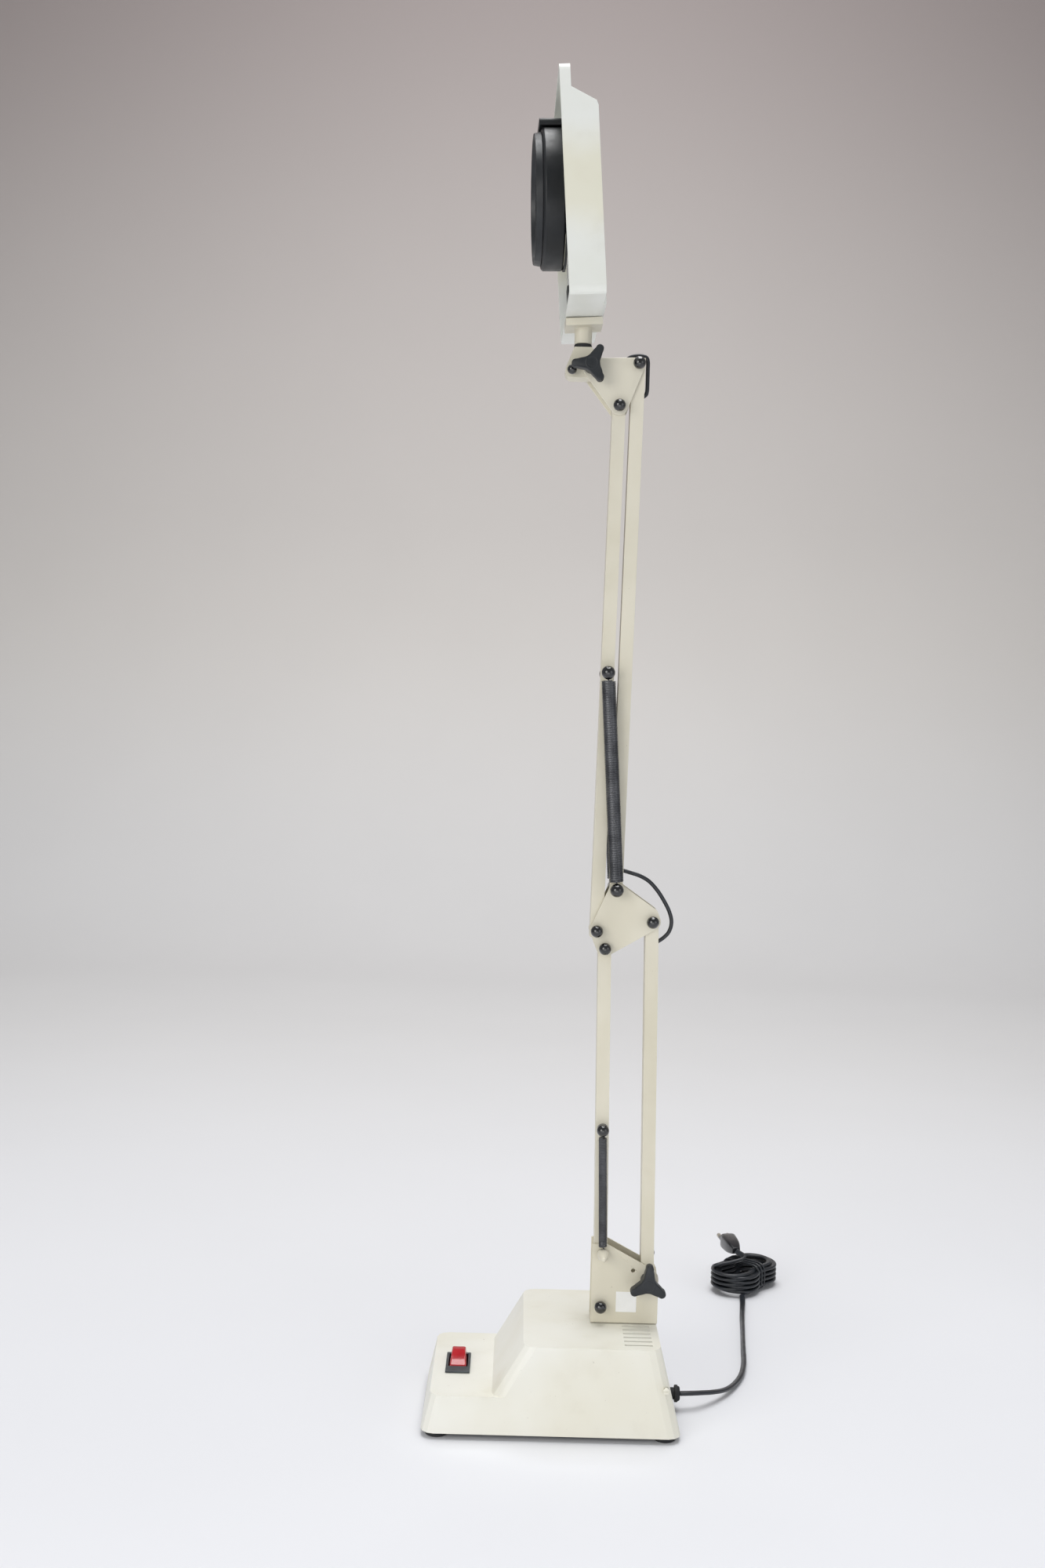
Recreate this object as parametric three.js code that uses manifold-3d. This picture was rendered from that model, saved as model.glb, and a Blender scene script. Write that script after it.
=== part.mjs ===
// A desk magnifying lamp: a stepped transformer base, a swivel bracket, two parallelogram arms with
// balance springs, and a shallow lamp head that carries a round magnifying lens.
// Millimetres, +Z up. The origin is on the table under the middle of the base.
// +X is the end where the mains cord leaves, -X is the user's end, and -Y is the near side.
import * as THREE from "three";
import { mergeVertices } from "three/addons/utils/BufferGeometryUtils.js";
import Module from "manifold-3d";

const wasm = await Module();
wasm.setup();

// ---------------------------------------------------------------- driving dimensions
const GAP = 0.3; // between pieces that touch

const BASE = {
  bottom: 4, // lower edge of the cover
  wall: 2.5,
  cornerRadius: 9,
  lowerDeck: 30,
  upperDeck: 64.9,
  halfLength: 89.3,
  halfWidth: 59.5,
  widthDraft: 0.01, // inward lean of the long sides, per mm of height
  lowerDeckLeft: -83.5,
  stepFoot: -41, // where the sloped face meets the lower deck
  stepTop: -20.3, // where it meets the upper deck
  upperDeckRight: 74.2,
};
const PLATE = { bottom: 2.6, top: 4.8, inset: 3.2 };
const FOOT = { radius: 8, x: 78.5, y: 48.5, height: 2.3 };
const SWITCH = { x: -66, y: -1.5, length: 36, width: 17.4 };
const POCKET = { y: 2.4, length: 23.6, width: 13.4 };
const VENT = { count: 6, pitch: 7.3, left: 49.4, right: 68.8, firstY: 13.5, width: 1.8 };
const GLAND = { y: 0, z: 12, radius: 6, tip: 93.2 };

const SWIVEL = { x: 51, radius: 6 };
const CHANNEL = { outer: 9.5, thickness: 1.5, left: 27.3, right: 74.8, bottom: 65.6, backTop: 94 };
const LINK = { width: 9.2, depth: 15, wall: 1, overrun: 4.8 };
const BOLT = { radius: 2, hole: 2.3, ball: 4.4, ballY: 14.1 };
const STUD = { radius: 1.6, hole: 1.9, ball: 4.8, ballY: 17.6, eyeY: 11.9 };

// Pivots in the XZ plane at rest.
const LOWER_FRONT = { x: 34, z: 78 };
const LOWER_OFFSET = { x: 33, z: 19.5 }; // front pivot to back pivot, bracket and elbow alike
const LOWER_REACH = { x: -3.9, z: 254.7 };
const UPPER_SHIFT = { x: -6.1, z: 12.2 }; // elbow front pivot of the lower arm to that of the upper
const UPPER_OFFSET = { x: 13, z: 29.5 };
const UPPER_REACH = { x: 5.4, z: 367.4 };
const plus = (a, b) => ({ x: a.x + b.x, z: a.z + b.z });
const LOWER_BACK = plus(LOWER_FRONT, LOWER_OFFSET);
const ELBOW_FRONT = plus(LOWER_FRONT, LOWER_REACH);
const ELBOW_BACK = plus(LOWER_BACK, LOWER_REACH);
const UPPER_FRONT = plus(ELBOW_FRONT, UPPER_SHIFT);
const UPPER_BACK = plus(UPPER_FRONT, UPPER_OFFSET);
const HEAD_FRONT = plus(UPPER_FRONT, UPPER_REACH);
const HEAD_BACK = plus(UPPER_BACK, UPPER_REACH);
const TILT = { x: 9, z: 739 };
const KNUCKLE_BOLT = { x: -4.2, z: 736.6 };
const NECK = { x: 3.2, shoulder: 753.2, tubeBottom: 756.2, tubeRadius: 6.1, spindle: 4, bore: 4.35 };

const LOWER_SPRING = {
  foot: { x: 34.6, z: 115.5 },
  head: { x: 32.1, z: 204.7 },
  radius: 3,
  inner: 1.9,
  coilY: 13.6,
};
const UPPER_SPRING = {
  foot: UPPER_BACK,
  head: { x: 26.7, z: 526.5 },
  radius: 5,
  inner: 3.8,
  coilY: 15.1,
};
const EYE = { radius: 4, wire: 0.75, coilGap: 6.4 };
const KNOB = { lobe: 14, tip: 2.8, hollow: 2.2, inner: 16.6, outer: 25, boss: 5, lobes: 3 };

// The head, its lens and the neck bracket stand turned a little about the neck.
const HEAD_YAW = 0.9;
const HEAD = { z: 774, lean: 4.2, halfWidth: 75, wall: 2, front: -13.3, back: 11.3 };
const LENS = { x: -24.8, z: 855.8, lean: 2, turn: 1.2, radius: 47.6, wall: 4.4, depth: 15.2, bezel: 5.2 };

const CORD = { radius: 2.4, sides: 8, steps: 42 };
// The free stretch of the mains cord, from the gland to the tied hank.
const CORD_ROUTE = [
  [93.6, 0, 12],
  [102, 1.5, 11.8],
  [110, 6, 10.5],
  [119, 14, 8],
  [129, 26, 5],
  [138, 42, 3],
  [146, 62, 2.6],
  [151, 85, 2.6],
  [154, 110, 2.6],
  [157, 135, 2.6],
  [160, 160, 2.6],
  [163, 185, 2.6],
  [166, 206, 2.6],
  [168.3, 222, 2.8],
  [169.4, 234.8, 3],
];
const HANK = { x: 175, y: 268, length: 72, width: 43, height: 24, turn: 52 };
const PLUG = { x: 166, y: 284, z: 24.4, width: 14, height: 13.5, length: 30, turn: 8 };
const LEAD = { radius: 1.4, sides: 8, steps: 26 };
// The lamp lead's loop at the elbow, from the upper back link to the lower back link.
const ELBOW_LEAD_ROUTE = [
  [42.5, 0, 387],
  [47.5, 0, 385.6],
  [54, 0, 383.6],
  [60.5, 0, 380],
  [66.5, 0, 373.8],
  [71.8, 0, 366],
  [75.8, 0, 358.2],
  [77.4, 0, 351],
  [75.8, 0, 344.4],
  [71.8, 0, 339.8],
  [67.8, 0, 336.8],
];
// The lamp lead's short run at the head, from the upper back link to the knuckle.
const HEAD_LEAD_ROUTE = [
  [48.3, 0, 722.4],
  [48.9, 0, 724],
  [49.2, 0, 727],
  [49.2, 0, 733],
  [49.2, 0, 740],
  [49.1, 0, 745.6],
  [48, 0, 748.4],
  [44.6, 0, 749.6],
  [40, 0, 749.4],
  [36.4, 0, 748.2],
  [33.4, 0, 746],
  [28, 0, 744.2],
  [21, 0, 744],
  [15.6, 0, 744],
];

// ---------------------------------------------------------------- materials
const finish = (color, roughness, metalness = 0) =>
  new THREE.MeshStandardMaterial({ color, roughness, metalness });
const CREAM = finish(0xe6e4d6, 0.5);
const ARM_PAINT = finish(0xdad6c2, 0.42);
const HEAD_PAINT = finish(0xe4e6dd, 0.4);
const SLATE = finish(0x34393d, 0.45);
const BLACK_NUT = finish(0x101113, 0.12);
const RUBBER = finish(0x1e1f20, 0.8);
const SPRING_STEEL = finish(0x3b3d40, 0.35, 0.8);
const ZINC = finish(0x9a9c9e, 0.4, 0.9);
const CORE_STEEL = finish(0x5a5854, 0.6, 0.6);
const COPPER = finish(0x9a5a2c, 0.4, 0.8);
const ROCKER_RED = finish(0xc3202c, 0.25);
const GLASS = finish(0xdfe8ea, 0.05);

// ---------------------------------------------------------------- helpers
const radians = THREE.MathUtils.degToRad;

// A three.js geometry as a manifold solid.
function solid(geometry) {
  const plain = geometry.clone();
  plain.deleteAttribute("normal");
  plain.deleteAttribute("uv");
  const merged = mergeVertices(plain, 1e-4);
  return new wasm.Manifold(
    new wasm.Mesh({
      numProp: 3,
      vertProperties: merged.attributes.position.array,
      triVerts: new Uint32Array(merged.index.array),
    }),
  );
}

// A manifold solid as a three.js geometry.
function geometryOf(body) {
  const mesh = body.getMesh();
  const geometry = new THREE.BufferGeometry();
  geometry.setAttribute("position", new THREE.BufferAttribute(mesh.vertProperties, mesh.numProp));
  geometry.setIndex(new THREE.BufferAttribute(mesh.triVerts, 1));
  const flat = geometry.toNonIndexed();
  flat.computeVertexNormals();
  return flat;
}

const join = (first, ...rest) =>
  geometryOf(rest.reduce((body, piece) => body.add(solid(piece)), solid(first)));
const cut = (first, ...tools) =>
  geometryOf(tools.reduce((body, tool) => body.subtract(solid(tool)), solid(first)));

function box(x0, x1, y0, y1, z0, z1) {
  const geometry = new THREE.BoxGeometry(x1 - x0, y1 - y0, z1 - z0);
  return geometry.translate((x0 + x1) / 2, (y0 + y1) / 2, (z0 + z1) / 2);
}

const rodAlongX = (y, z, radius, x0, x1, sides = 16) =>
  new THREE.CylinderGeometry(radius, radius, x1 - x0, sides)
    .rotateZ(Math.PI / 2)
    .translate((x0 + x1) / 2, y, z);
const rodAlongY = (x, z, radius, y0, y1, sides = 16) =>
  new THREE.CylinderGeometry(radius, radius, y1 - y0, sides).translate(x, (y0 + y1) / 2, z);
const rodAlongZ = (x, y, radius, z0, z1, sides = 16) =>
  new THREE.CylinderGeometry(radius, radius, z1 - z0, sides)
    .rotateX(Math.PI / 2)
    .translate(x, y, (z0 + z1) / 2);

// A turned piece: profile points are [radius, distance along the axis].
const lathe = (profile, sides = 16) =>
  new THREE.LatheGeometry(profile.map(([r, h]) => new THREE.Vector2(r, h)), sides);
const latheAlongX = (profile, sides) => lathe(profile, sides).rotateZ(Math.PI / 2); // +axis to -X
const latheAlongZ = (profile, sides) => lathe(profile, sides).rotateX(Math.PI / 2);

// An XZ outline extruded along Y.
function slab(outline, y0, y1) {
  const shape = Array.isArray(outline)
    ? new THREE.Shape(outline.map(([x, z]) => new THREE.Vector2(x, z)))
    : outline;
  const geometry = new THREE.ExtrudeGeometry(shape, {
    depth: y1 - y0,
    bevelEnabled: false,
    curveSegments: 5,
  });
  return geometry.rotateX(Math.PI / 2).translate(0, y1, 0);
}

// A YZ outline extruded along X.
function slabAlongX(outline, x0, x1) {
  const shape = new THREE.Shape(outline.map(([y, z]) => new THREE.Vector2(y, z)));
  const geometry = new THREE.ExtrudeGeometry(shape, { depth: x1 - x0, bevelEnabled: false });
  return geometry.rotateX(Math.PI / 2).rotateZ(Math.PI / 2).translate(x0, 0, 0);
}

// The outline round a set of circles and points given as [x, z, radius].
function hullOutline(circles) {
  const points = [];
  for (const [x, z, radius = 0] of circles) {
    const count = radius > 0 ? 20 : 1;
    for (let i = 0; i < count; i++) {
      const angle = (i / count) * 2 * Math.PI;
      points.push([x + radius * Math.cos(angle), z + radius * Math.sin(angle)]);
    }
  }
  points.sort((a, b) => a[0] - b[0] || a[1] - b[1]);
  const turn = (o, a, b) => (a[0] - o[0]) * (b[1] - o[1]) - (a[1] - o[1]) * (b[0] - o[0]);
  const half = (list) => {
    const chain = [];
    for (const point of list) {
      while (chain.length > 1 && turn(chain.at(-2), chain.at(-1), point) <= 1e-9) chain.pop();
      chain.push(point);
    }
    return chain.slice(0, -1);
  };
  return [...half(points), ...half([...points].reverse())];
}

// A tube along a smooth path through the points.
function tube(points, radius, sides, steps) {
  const section = new THREE.Shape();
  for (let i = 0; i < sides; i++) {
    const angle = (i / sides) * 2 * Math.PI;
    const at = [radius * Math.cos(angle), radius * Math.sin(angle)];
    if (i === 0) section.moveTo(...at);
    else section.lineTo(...at);
  }
  section.closePath();
  const path = new THREE.CatmullRomCurve3(points.map((p) => new THREE.Vector3(...p)));
  return new THREE.ExtrudeGeometry(section, { extrudePath: path, steps, bevelEnabled: false });
}

// A rounded rectangle drawn in XY that rises in Z and changes from the low to the high rectangle.
function taperedBlock(low, high, z0, z1, radius) {
  const outline = new THREE.Shape();
  outline.moveTo(-1, -1).lineTo(1, -1).lineTo(1, 1).lineTo(-1, 1).closePath();
  const corner = (sx, sy, start) =>
    [0, 1, 2, 3].map((i) => ({ sx, sy, angle: start + (i / 3) * (Math.PI / 2) }));
  const ring = [
    ...corner(1, -1, -Math.PI / 2),
    ...corner(1, 1, 0),
    ...corner(-1, 1, Math.PI / 2),
    ...corner(-1, -1, Math.PI),
  ];
  const place = (rect, { sx, sy, angle }) =>
    new THREE.Vector2(
      (sx > 0 ? rect.x1 - radius : rect.x0 + radius) + radius * Math.cos(angle),
      sy * (rect.y - radius) + radius * Math.sin(angle),
    );
  const shape = new THREE.Shape(ring.map((c) => place(low, c)));
  const geometry = new THREE.ExtrudeGeometry(shape, { depth: z1 - z0, bevelEnabled: false });
  const position = geometry.getAttribute("position");
  const lowRing = ring.map((c) => place(low, c));
  const highRing = ring.map((c) => place(high, c));
  for (let i = 0; i < position.count; i++) {
    const onTop = position.getZ(i) > (z1 - z0) / 2;
    const at = new THREE.Vector2(position.getX(i), position.getY(i));
    const index = lowRing.findIndex((p) => p.distanceTo(at) < 1e-3);
    const target = onTop ? highRing[index] : lowRing[index];
    position.setXYZ(i, target.x, target.y, onTop ? z1 : z0);
  }
  return geometry;
}

// A through bolt along Y with a ball-shaped cap nut at each end.
function ballBolt(at, { shank = BOLT.radius, nearY = BOLT.ballY, farY = BOLT.ballY, ball = BOLT.ball }) {
  const profile = [];
  const arcSteps = 6;
  const neck = Math.asin(shank / ball);
  for (let i = 0; i <= arcSteps; i++) {
    const angle = (i / arcSteps) * (Math.PI - neck);
    profile.push([ball * Math.sin(angle), -nearY - ball * Math.cos(angle)]);
  }
  for (let i = 0; i <= arcSteps; i++) {
    const angle = neck + (i / arcSteps) * (Math.PI - neck);
    profile.push([ball * Math.sin(angle), farY - ball * Math.cos(angle)]);
  }
  profile[0][0] = 0;
  profile[profile.length - 1][0] = 0;
  return lathe(profile, 12).translate(at.x, 0, at.z);
}

// The lobed outline of a clamp knob, centred on its bolt.
function knobOutline(at, turn) {
  const shape = new THREE.Shape();
  const place = (radius, aside, angle) => [
    at.x + radius * Math.cos(angle) - aside * Math.sin(angle),
    at.z + radius * Math.sin(angle) + aside * Math.cos(angle),
  ];
  for (let lobe = 0; lobe < KNOB.lobes; lobe++) {
    const angle = radians(turn) + (lobe / KNOB.lobes) * 2 * Math.PI;
    const next = angle + (2 * Math.PI) / KNOB.lobes;
    const middle = (angle + next) / 2;
    const start = place(KNOB.lobe, -KNOB.tip, angle);
    if (lobe === 0) shape.moveTo(...start);
    shape.lineTo(...place(KNOB.lobe + 0.8, 0, angle));
    shape.lineTo(...place(KNOB.lobe, KNOB.tip, angle));
    shape.quadraticCurveTo(...place(KNOB.hollow, 0, middle), ...place(KNOB.lobe, -KNOB.tip, next));
  }
  return shape;
}

// A three-lobed clamp knob on the near (-1) or far (+1) side, bored for its bolt.
function clampKnob(at, side, turn) {
  const inner = KNOB.inner;
  const depth = KNOB.outer - inner;
  const [y0, y1] = side < 0 ? [-inner - depth, -inner] : [inner, inner + depth];
  const star = slab(knobOutline(at, turn), y0, y1);
  const bossStart = CHANNEL.outer + GAP;
  const boss = side < 0
    ? rodAlongY(at.x, at.z, KNOB.boss, -inner - 1, -bossStart)
    : rodAlongY(at.x, at.z, KNOB.boss, bossStart, inner + 1);
  const bore = side < 0
    ? rodAlongY(at.x, at.z, BOLT.hole, -inner - 4, 0)
    : rodAlongY(at.x, at.z, BOLT.hole, 0, inner + 4);
  return geometryOf(solid(star).add(solid(boss)).subtract(solid(bore)));
}

// A square-section arm tube along local +Z, from its lower pivot to its upper pivot.
function armTube(length, extraHoles = []) {
  const { width, depth, wall, overrun } = LINK;
  const outer = box(-width / 2, width / 2, -depth / 2, depth / 2, -overrun, length + overrun);
  const inner = box(
    wall - width / 2,
    width / 2 - wall,
    wall - depth / 2,
    depth / 2 - wall,
    -overrun - 1,
    length + overrun + 1,
  );
  const pivotHoles = [0, length].map((z) => rodAlongY(0, z, BOLT.hole, -depth, depth));
  return cut(outer, inner, ...pivotHoles, ...extraHoles);
}

const reachLength = ({ x, z }) => Math.hypot(x, z);
const reachLean = ({ x, z }) => Math.atan2(x, z);

// The closed-wound body of a balance spring with its foot eye, along local +Z. side is -1 or +1.
function springCoil(spring, side) {
  const length = Math.hypot(spring.head.x - spring.foot.x, spring.head.z - spring.foot.z);
  const start = EYE.coilGap;
  const end = length - EYE.coilGap;
  const y = side * spring.coilY;
  const coil = latheAlongZ(
    [
      [0, start],
      [spring.radius, start],
      [spring.radius, end],
      [spring.inner, end],
      [spring.inner, start + 1.5],
      [0, start + 1.5],
    ],
    12,
  ).translate(0, y, 0);
  const eye = new THREE.TorusGeometry(EYE.radius, EYE.wire, 6, 16)
    .rotateX(Math.PI / 2)
    .translate(0, side * STUD.eyeY, 0);
  const wire = tube(
    [
      [0, side * STUD.eyeY, EYE.radius],
      [0, y, start + 0.6],
    ],
    EYE.wire,
    6,
    2,
  );
  return join(coil, eye, wire);
}

// The head eye of a balance spring with its wire stem, in the same local frame.
function springEye(spring, side) {
  const length = Math.hypot(spring.head.x - spring.foot.x, spring.head.z - spring.foot.z);
  const y = side * spring.coilY;
  const eye = new THREE.TorusGeometry(EYE.radius, EYE.wire, 6, 16)
    .rotateX(Math.PI / 2)
    .translate(0, side * STUD.eyeY, length);
  const stem = tube(
    [
      [0, side * STUD.eyeY, length - EYE.radius],
      [0, y, length - EYE.coilGap + GAP],
    ],
    EYE.wire,
    6,
    2,
  );
  const cap = rodAlongZ(0, y, spring.radius - 0.6, length - EYE.coilGap + GAP, length - EYE.coilGap + 1.3, 12);
  return join(eye, stem, cap);
}

// ---------------------------------------------------------------- scene graph
const lamp = new THREE.Group();

function place(name, geometry, material, parent = lamp) {
  const mesh = new THREE.Mesh(geometry, material);
  mesh.name = name;
  parent.add(mesh);
}

// A group at a pivot whose local +Z runs along the given reach.
function pivotGroup(at, reach) {
  const group = new THREE.Group();
  group.position.set(at.x, 0, at.z);
  group.rotation.y = reachLean(reach);
  lamp.add(group);
  return group;
}

// ---------------------------------------------------------------- base
const widthAt = (z) => BASE.halfWidth - BASE.widthDraft * (z - BASE.bottom);
const rightSlope = (BASE.halfLength - BASE.upperDeckRight) / (BASE.upperDeck - BASE.bottom);
const rightAt = (z) => BASE.halfLength - rightSlope * (z - BASE.bottom);
const leftSlope = (BASE.halfLength + BASE.lowerDeckLeft) / (BASE.lowerDeck - BASE.bottom);
const stepSlope = (BASE.stepTop - BASE.stepFoot) / (BASE.upperDeck - BASE.lowerDeck);

// The two stepped blocks of the cover, each face moved inwards by the inset.
function coverBlocks(inset, floor) {
  const radius = BASE.cornerRadius - inset;
  const rectangle = (x0, z, x1) => ({ x0: x0 + inset, x1: x1 - inset, y: widthAt(z) - inset });
  const lowTop = BASE.lowerDeck - inset;
  const highTop = BASE.upperDeck - inset;
  const leftAt = (z) => -BASE.halfLength + leftSlope * (z - BASE.bottom);
  const stepAt = (z) => BASE.stepFoot + stepSlope * (z - BASE.lowerDeck);
  const low = taperedBlock(
    rectangle(leftAt(floor), floor, rightAt(floor)),
    rectangle(leftAt(lowTop), lowTop, rightAt(lowTop)),
    floor,
    lowTop,
    radius,
  );
  const high = taperedBlock(
    rectangle(stepAt(floor), floor, rightAt(floor)),
    rectangle(stepAt(highTop), highTop, rightAt(highTop)),
    floor,
    highTop,
    radius,
  );
  return solid(low).add(solid(high));
}

function baseCover() {
  let cover = coverBlocks(0, BASE.bottom).subtract(coverBlocks(BASE.wall, BASE.bottom - 1));
  const switchHole = box(
    SWITCH.x - SWITCH.width / 2 + 0.8,
    SWITCH.x + SWITCH.width / 2 - 0.8,
    SWITCH.y - SWITCH.length / 2 + 1.2,
    SWITCH.y + SWITCH.length / 2 - 1.2,
    BASE.lowerDeck - 5,
    BASE.lowerDeck + 5,
  );
  cover = cover.subtract(solid(switchHole));
  for (let i = 0; i < VENT.count; i++) {
    const y = VENT.firstY + i * VENT.pitch;
    for (const middle of [-y, y]) {
      const [y0, y1] = [middle - VENT.width / 2, middle + VENT.width / 2];
      const slot = box(VENT.left, VENT.right, y0, y1, BASE.upperDeck - 5, BASE.upperDeck + 1);
      cover = cover.subtract(solid(slot));
    }
  }
  const swivelHole = rodAlongZ(SWIVEL.x, 0, SWIVEL.radius + GAP, BASE.upperDeck - 5, BASE.upperDeck + 1);
  const glandHole = rodAlongX(GLAND.y, GLAND.z, 4.6, 70, 95);
  const screwHole = rodAlongY(78, 37.2, 1.9, -70, -50, 12);
  cover = cover.subtract(solid(swivelHole)).subtract(solid(glandHole)).subtract(solid(screwHole));
  return geometryOf(cover);
}
place("base_cover", baseCover(), CREAM);

const plateEdge = BASE.halfLength - PLATE.inset;
const plateSide = BASE.halfWidth - PLATE.inset;
const plateRectangle = { x0: -plateEdge, x1: plateEdge, y: plateSide };
place(
  "base_plate",
  taperedBlock(plateRectangle, plateRectangle, PLATE.bottom, PLATE.top, BASE.cornerRadius - PLATE.inset),
  RUBBER,
);

for (const [end, sx] of [["left", -1], ["right", 1]]) {
  for (const [side, sy] of [["near", -1], ["far", 1]]) {
    const foot = rodAlongZ(sx * FOOT.x, sy * FOOT.y, FOOT.radius, 0, FOOT.height, 20);
    place(`foot_${end}_${side}`, foot, RUBBER);
  }
}

// The cover screw in the near long side: a shank through the wall and a domed head outside.
const SCREW = { x: 78, z: 37.2 };
const screwFace = widthAt(SCREW.z);
place(
  "cover_screw",
  lathe(
    [
      [0, screwFace - 8],
      [1.6, screwFace - 8],
      [1.6, screwFace + GAP],
      [2.3, screwFace + GAP],
      [1.8, screwFace + 0.9],
      [0, screwFace + 1.1],
    ],
    12,
  )
    .rotateX(Math.PI)
    .translate(SCREW.x, 0, SCREW.z),
  ZINC,
);

// The transformer: an EI core stacked along Y with its winding on the middle limb.
const CORE = { x0: -24, x1: 36, z0: 6, z1: 51, halfStack: 20, limb: 10 };
const coreMiddle = (CORE.x0 + CORE.x1) / 2;
const coreWindows = [-1, 1].map((side) => {
  const near = coreMiddle + side * CORE.limb;
  const far = coreMiddle + side * (CORE.limb + 10);
  return box(Math.min(near, far), Math.max(near, far), -30, 30, CORE.z0 + 8, CORE.z1 - 8);
});
place(
  "transformer_core",
  cut(box(CORE.x0, CORE.x1, -CORE.halfStack, CORE.halfStack, CORE.z0, CORE.z1), ...coreWindows),
  CORE_STEEL,
);
place(
  "transformer_winding",
  cut(
    box(coreMiddle - 19.5, coreMiddle + 19.5, -30, 30, CORE.z0 + 8.5, CORE.z1 - 8.5),
    box(coreMiddle - 10.4, coreMiddle + 10.4, -20.4, 20.4, 0, 60),
  ),
  COPPER,
);

// The rocker switch: a flanged body in the lower deck and the rocker in its pocket.
const bezelTop = BASE.lowerDeck + 1.6;
place(
  "switch_body",
  geometryOf(
    solid(
      box(
        SWITCH.x - SWITCH.width / 2,
        SWITCH.x + SWITCH.width / 2,
        SWITCH.y - SWITCH.length / 2,
        SWITCH.y + SWITCH.length / 2,
        BASE.lowerDeck + GAP,
        bezelTop,
      ),
    )
      .add(
        solid(
          box(
            SWITCH.x - SWITCH.width / 2 + 1.1,
            SWITCH.x + SWITCH.width / 2 - 1.1,
            SWITCH.y - SWITCH.length / 2 + 1.5,
            SWITCH.y + SWITCH.length / 2 - 1.5,
            9,
            bezelTop,
          ),
        ),
      )
      .subtract(
        solid(
          box(
            SWITCH.x - POCKET.width / 2,
            SWITCH.x + POCKET.width / 2,
            POCKET.y - POCKET.length / 2,
            POCKET.y + POCKET.length / 2,
            20,
            bezelTop + 5,
          ),
        ),
      ),
  ),
  SLATE,
);

const ROCKER = { y: 2.5, z: 29, width: 12.2, restTilt: 10 };
const rockerOutline = [
  [-11.2, 1],
  [-10.8, 4.4],
  [-6, 6.6],
  [0, 7.6],
  [6, 7.8],
  [10.6, 7.2],
  [11.2, 1],
  [6, -3.5],
  [-6, -3.5],
];
const rocker = slabAlongX(rockerOutline, -ROCKER.width / 2, ROCKER.width / 2)
  .rotateX(radians(ROCKER.restTilt))
  .translate(SWITCH.x, ROCKER.y, ROCKER.z);
place("switch_rocker", rocker, ROCKER_RED);

// The cord gland through the right-hand end wall.
const glandWall = rightAt(GLAND.z);
place(
  "cord_gland",
  latheAlongX(
    [
      [2.8, -GLAND.tip],
      [4.6, -GLAND.tip],
      [GLAND.radius, -glandWall - 3.6],
      [GLAND.radius, -glandWall - 1.9],
      [4.2, -glandWall - 1.9],
      [4.2, -glandWall + 6],
      [2.8, -glandWall + 6],
      [2.8, -GLAND.tip],
    ],
    20,
  ).translate(0, GLAND.y, GLAND.z),
  RUBBER,
);

// ---------------------------------------------------------------- mains cord
place("mains_cord", tube(CORD_ROUTE, CORD.radius, CORD.sides, CORD.steps), RUBBER);

function hank() {
  const straight = (HANK.length - HANK.width) / 2;
  const radius = HANK.width / 2;
  const outline = hullOutline([
    [-straight, 0, radius],
    [straight, 0, radius],
  ]);
  return slab(outline, 0, HANK.height)
    .rotateX(-Math.PI / 2)
    .translate(0, 0, HANK.height + 0.2)
    .rotateZ(radians(HANK.turn))
    .translate(HANK.x, HANK.y, 0);
}
place("cord_hank", hank(), RUBBER);

// A two-pin plug lying on the hank with its pins away from the user.
const plugBody = box(-PLUG.width / 2, PLUG.width / 2, -PLUG.length / 2, PLUG.length / 2, 0, PLUG.height);
const plugPins = [-4, 4].map((x) => rodAlongY(x, PLUG.height / 2, 2, PLUG.length / 2 - 1, PLUG.length / 2 + 17, 10));
place(
  "mains_plug",
  join(plugBody, ...plugPins)
    .rotateZ(radians(PLUG.turn))
    .translate(PLUG.x, PLUG.y, PLUG.z),
  RUBBER,
);

// ---------------------------------------------------------------- swivel bracket
function channelBracket() {
  const side = hullOutline([
    [CHANNEL.left, CHANNEL.bottom],
    [CHANNEL.left, 121.6],
    [37.9, 121.7],
    [LOWER_BACK.x - 0.2, LOWER_BACK.z, 8],
    [CHANNEL.right, CHANNEL.bottom],
  ]);
  const inner = CHANNEL.outer - CHANNEL.thickness;
  const floorTop = CHANNEL.bottom + CHANNEL.thickness;
  const backFace = CHANNEL.right - CHANNEL.thickness;
  return geometryOf(
    solid(slab(side, -CHANNEL.outer, CHANNEL.outer))
      .subtract(solid(box(CHANNEL.left - 1, backFace, -inner, inner, floorTop, 130)))
      .subtract(solid(box(backFace - 1, CHANNEL.right + 1, -inner, inner, CHANNEL.backTop, 130)))
      .subtract(solid(rodAlongY(LOWER_FRONT.x, LOWER_FRONT.z, BOLT.hole, -20, 20)))
      .subtract(solid(rodAlongY(LOWER_BACK.x, LOWER_BACK.z, BOLT.hole, -20, 20)))
      .subtract(solid(rodAlongY(56.7, 103.3, 1.5, -20, -inner + 1)))
      .subtract(solid(rodAlongZ(SWIVEL.x, 0, 4.3, 60, 70))),
  );
}
place("arm_bracket", channelBracket(), ARM_PAINT);

place(
  "swivel_spindle",
  latheAlongZ(
    [
      [0, 52],
      [12, 52],
      [12, 54.4],
      [SWIVEL.radius, 54.4],
      [SWIVEL.radius, CHANNEL.bottom - GAP],
      [4, CHANNEL.bottom - GAP],
      [4, CHANNEL.bottom + CHANNEL.thickness + GAP],
      [6, CHANNEL.bottom + CHANNEL.thickness + GAP],
      [6, CHANNEL.bottom + CHANNEL.thickness + 2.8],
      [0, CHANNEL.bottom + CHANNEL.thickness + 2.8],
    ],
    20,
  ).translate(SWIVEL.x, 0, 0),
  ZINC,
);

place("bracket_bolt", ballBolt(LOWER_FRONT, {}), BLACK_NUT);

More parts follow.
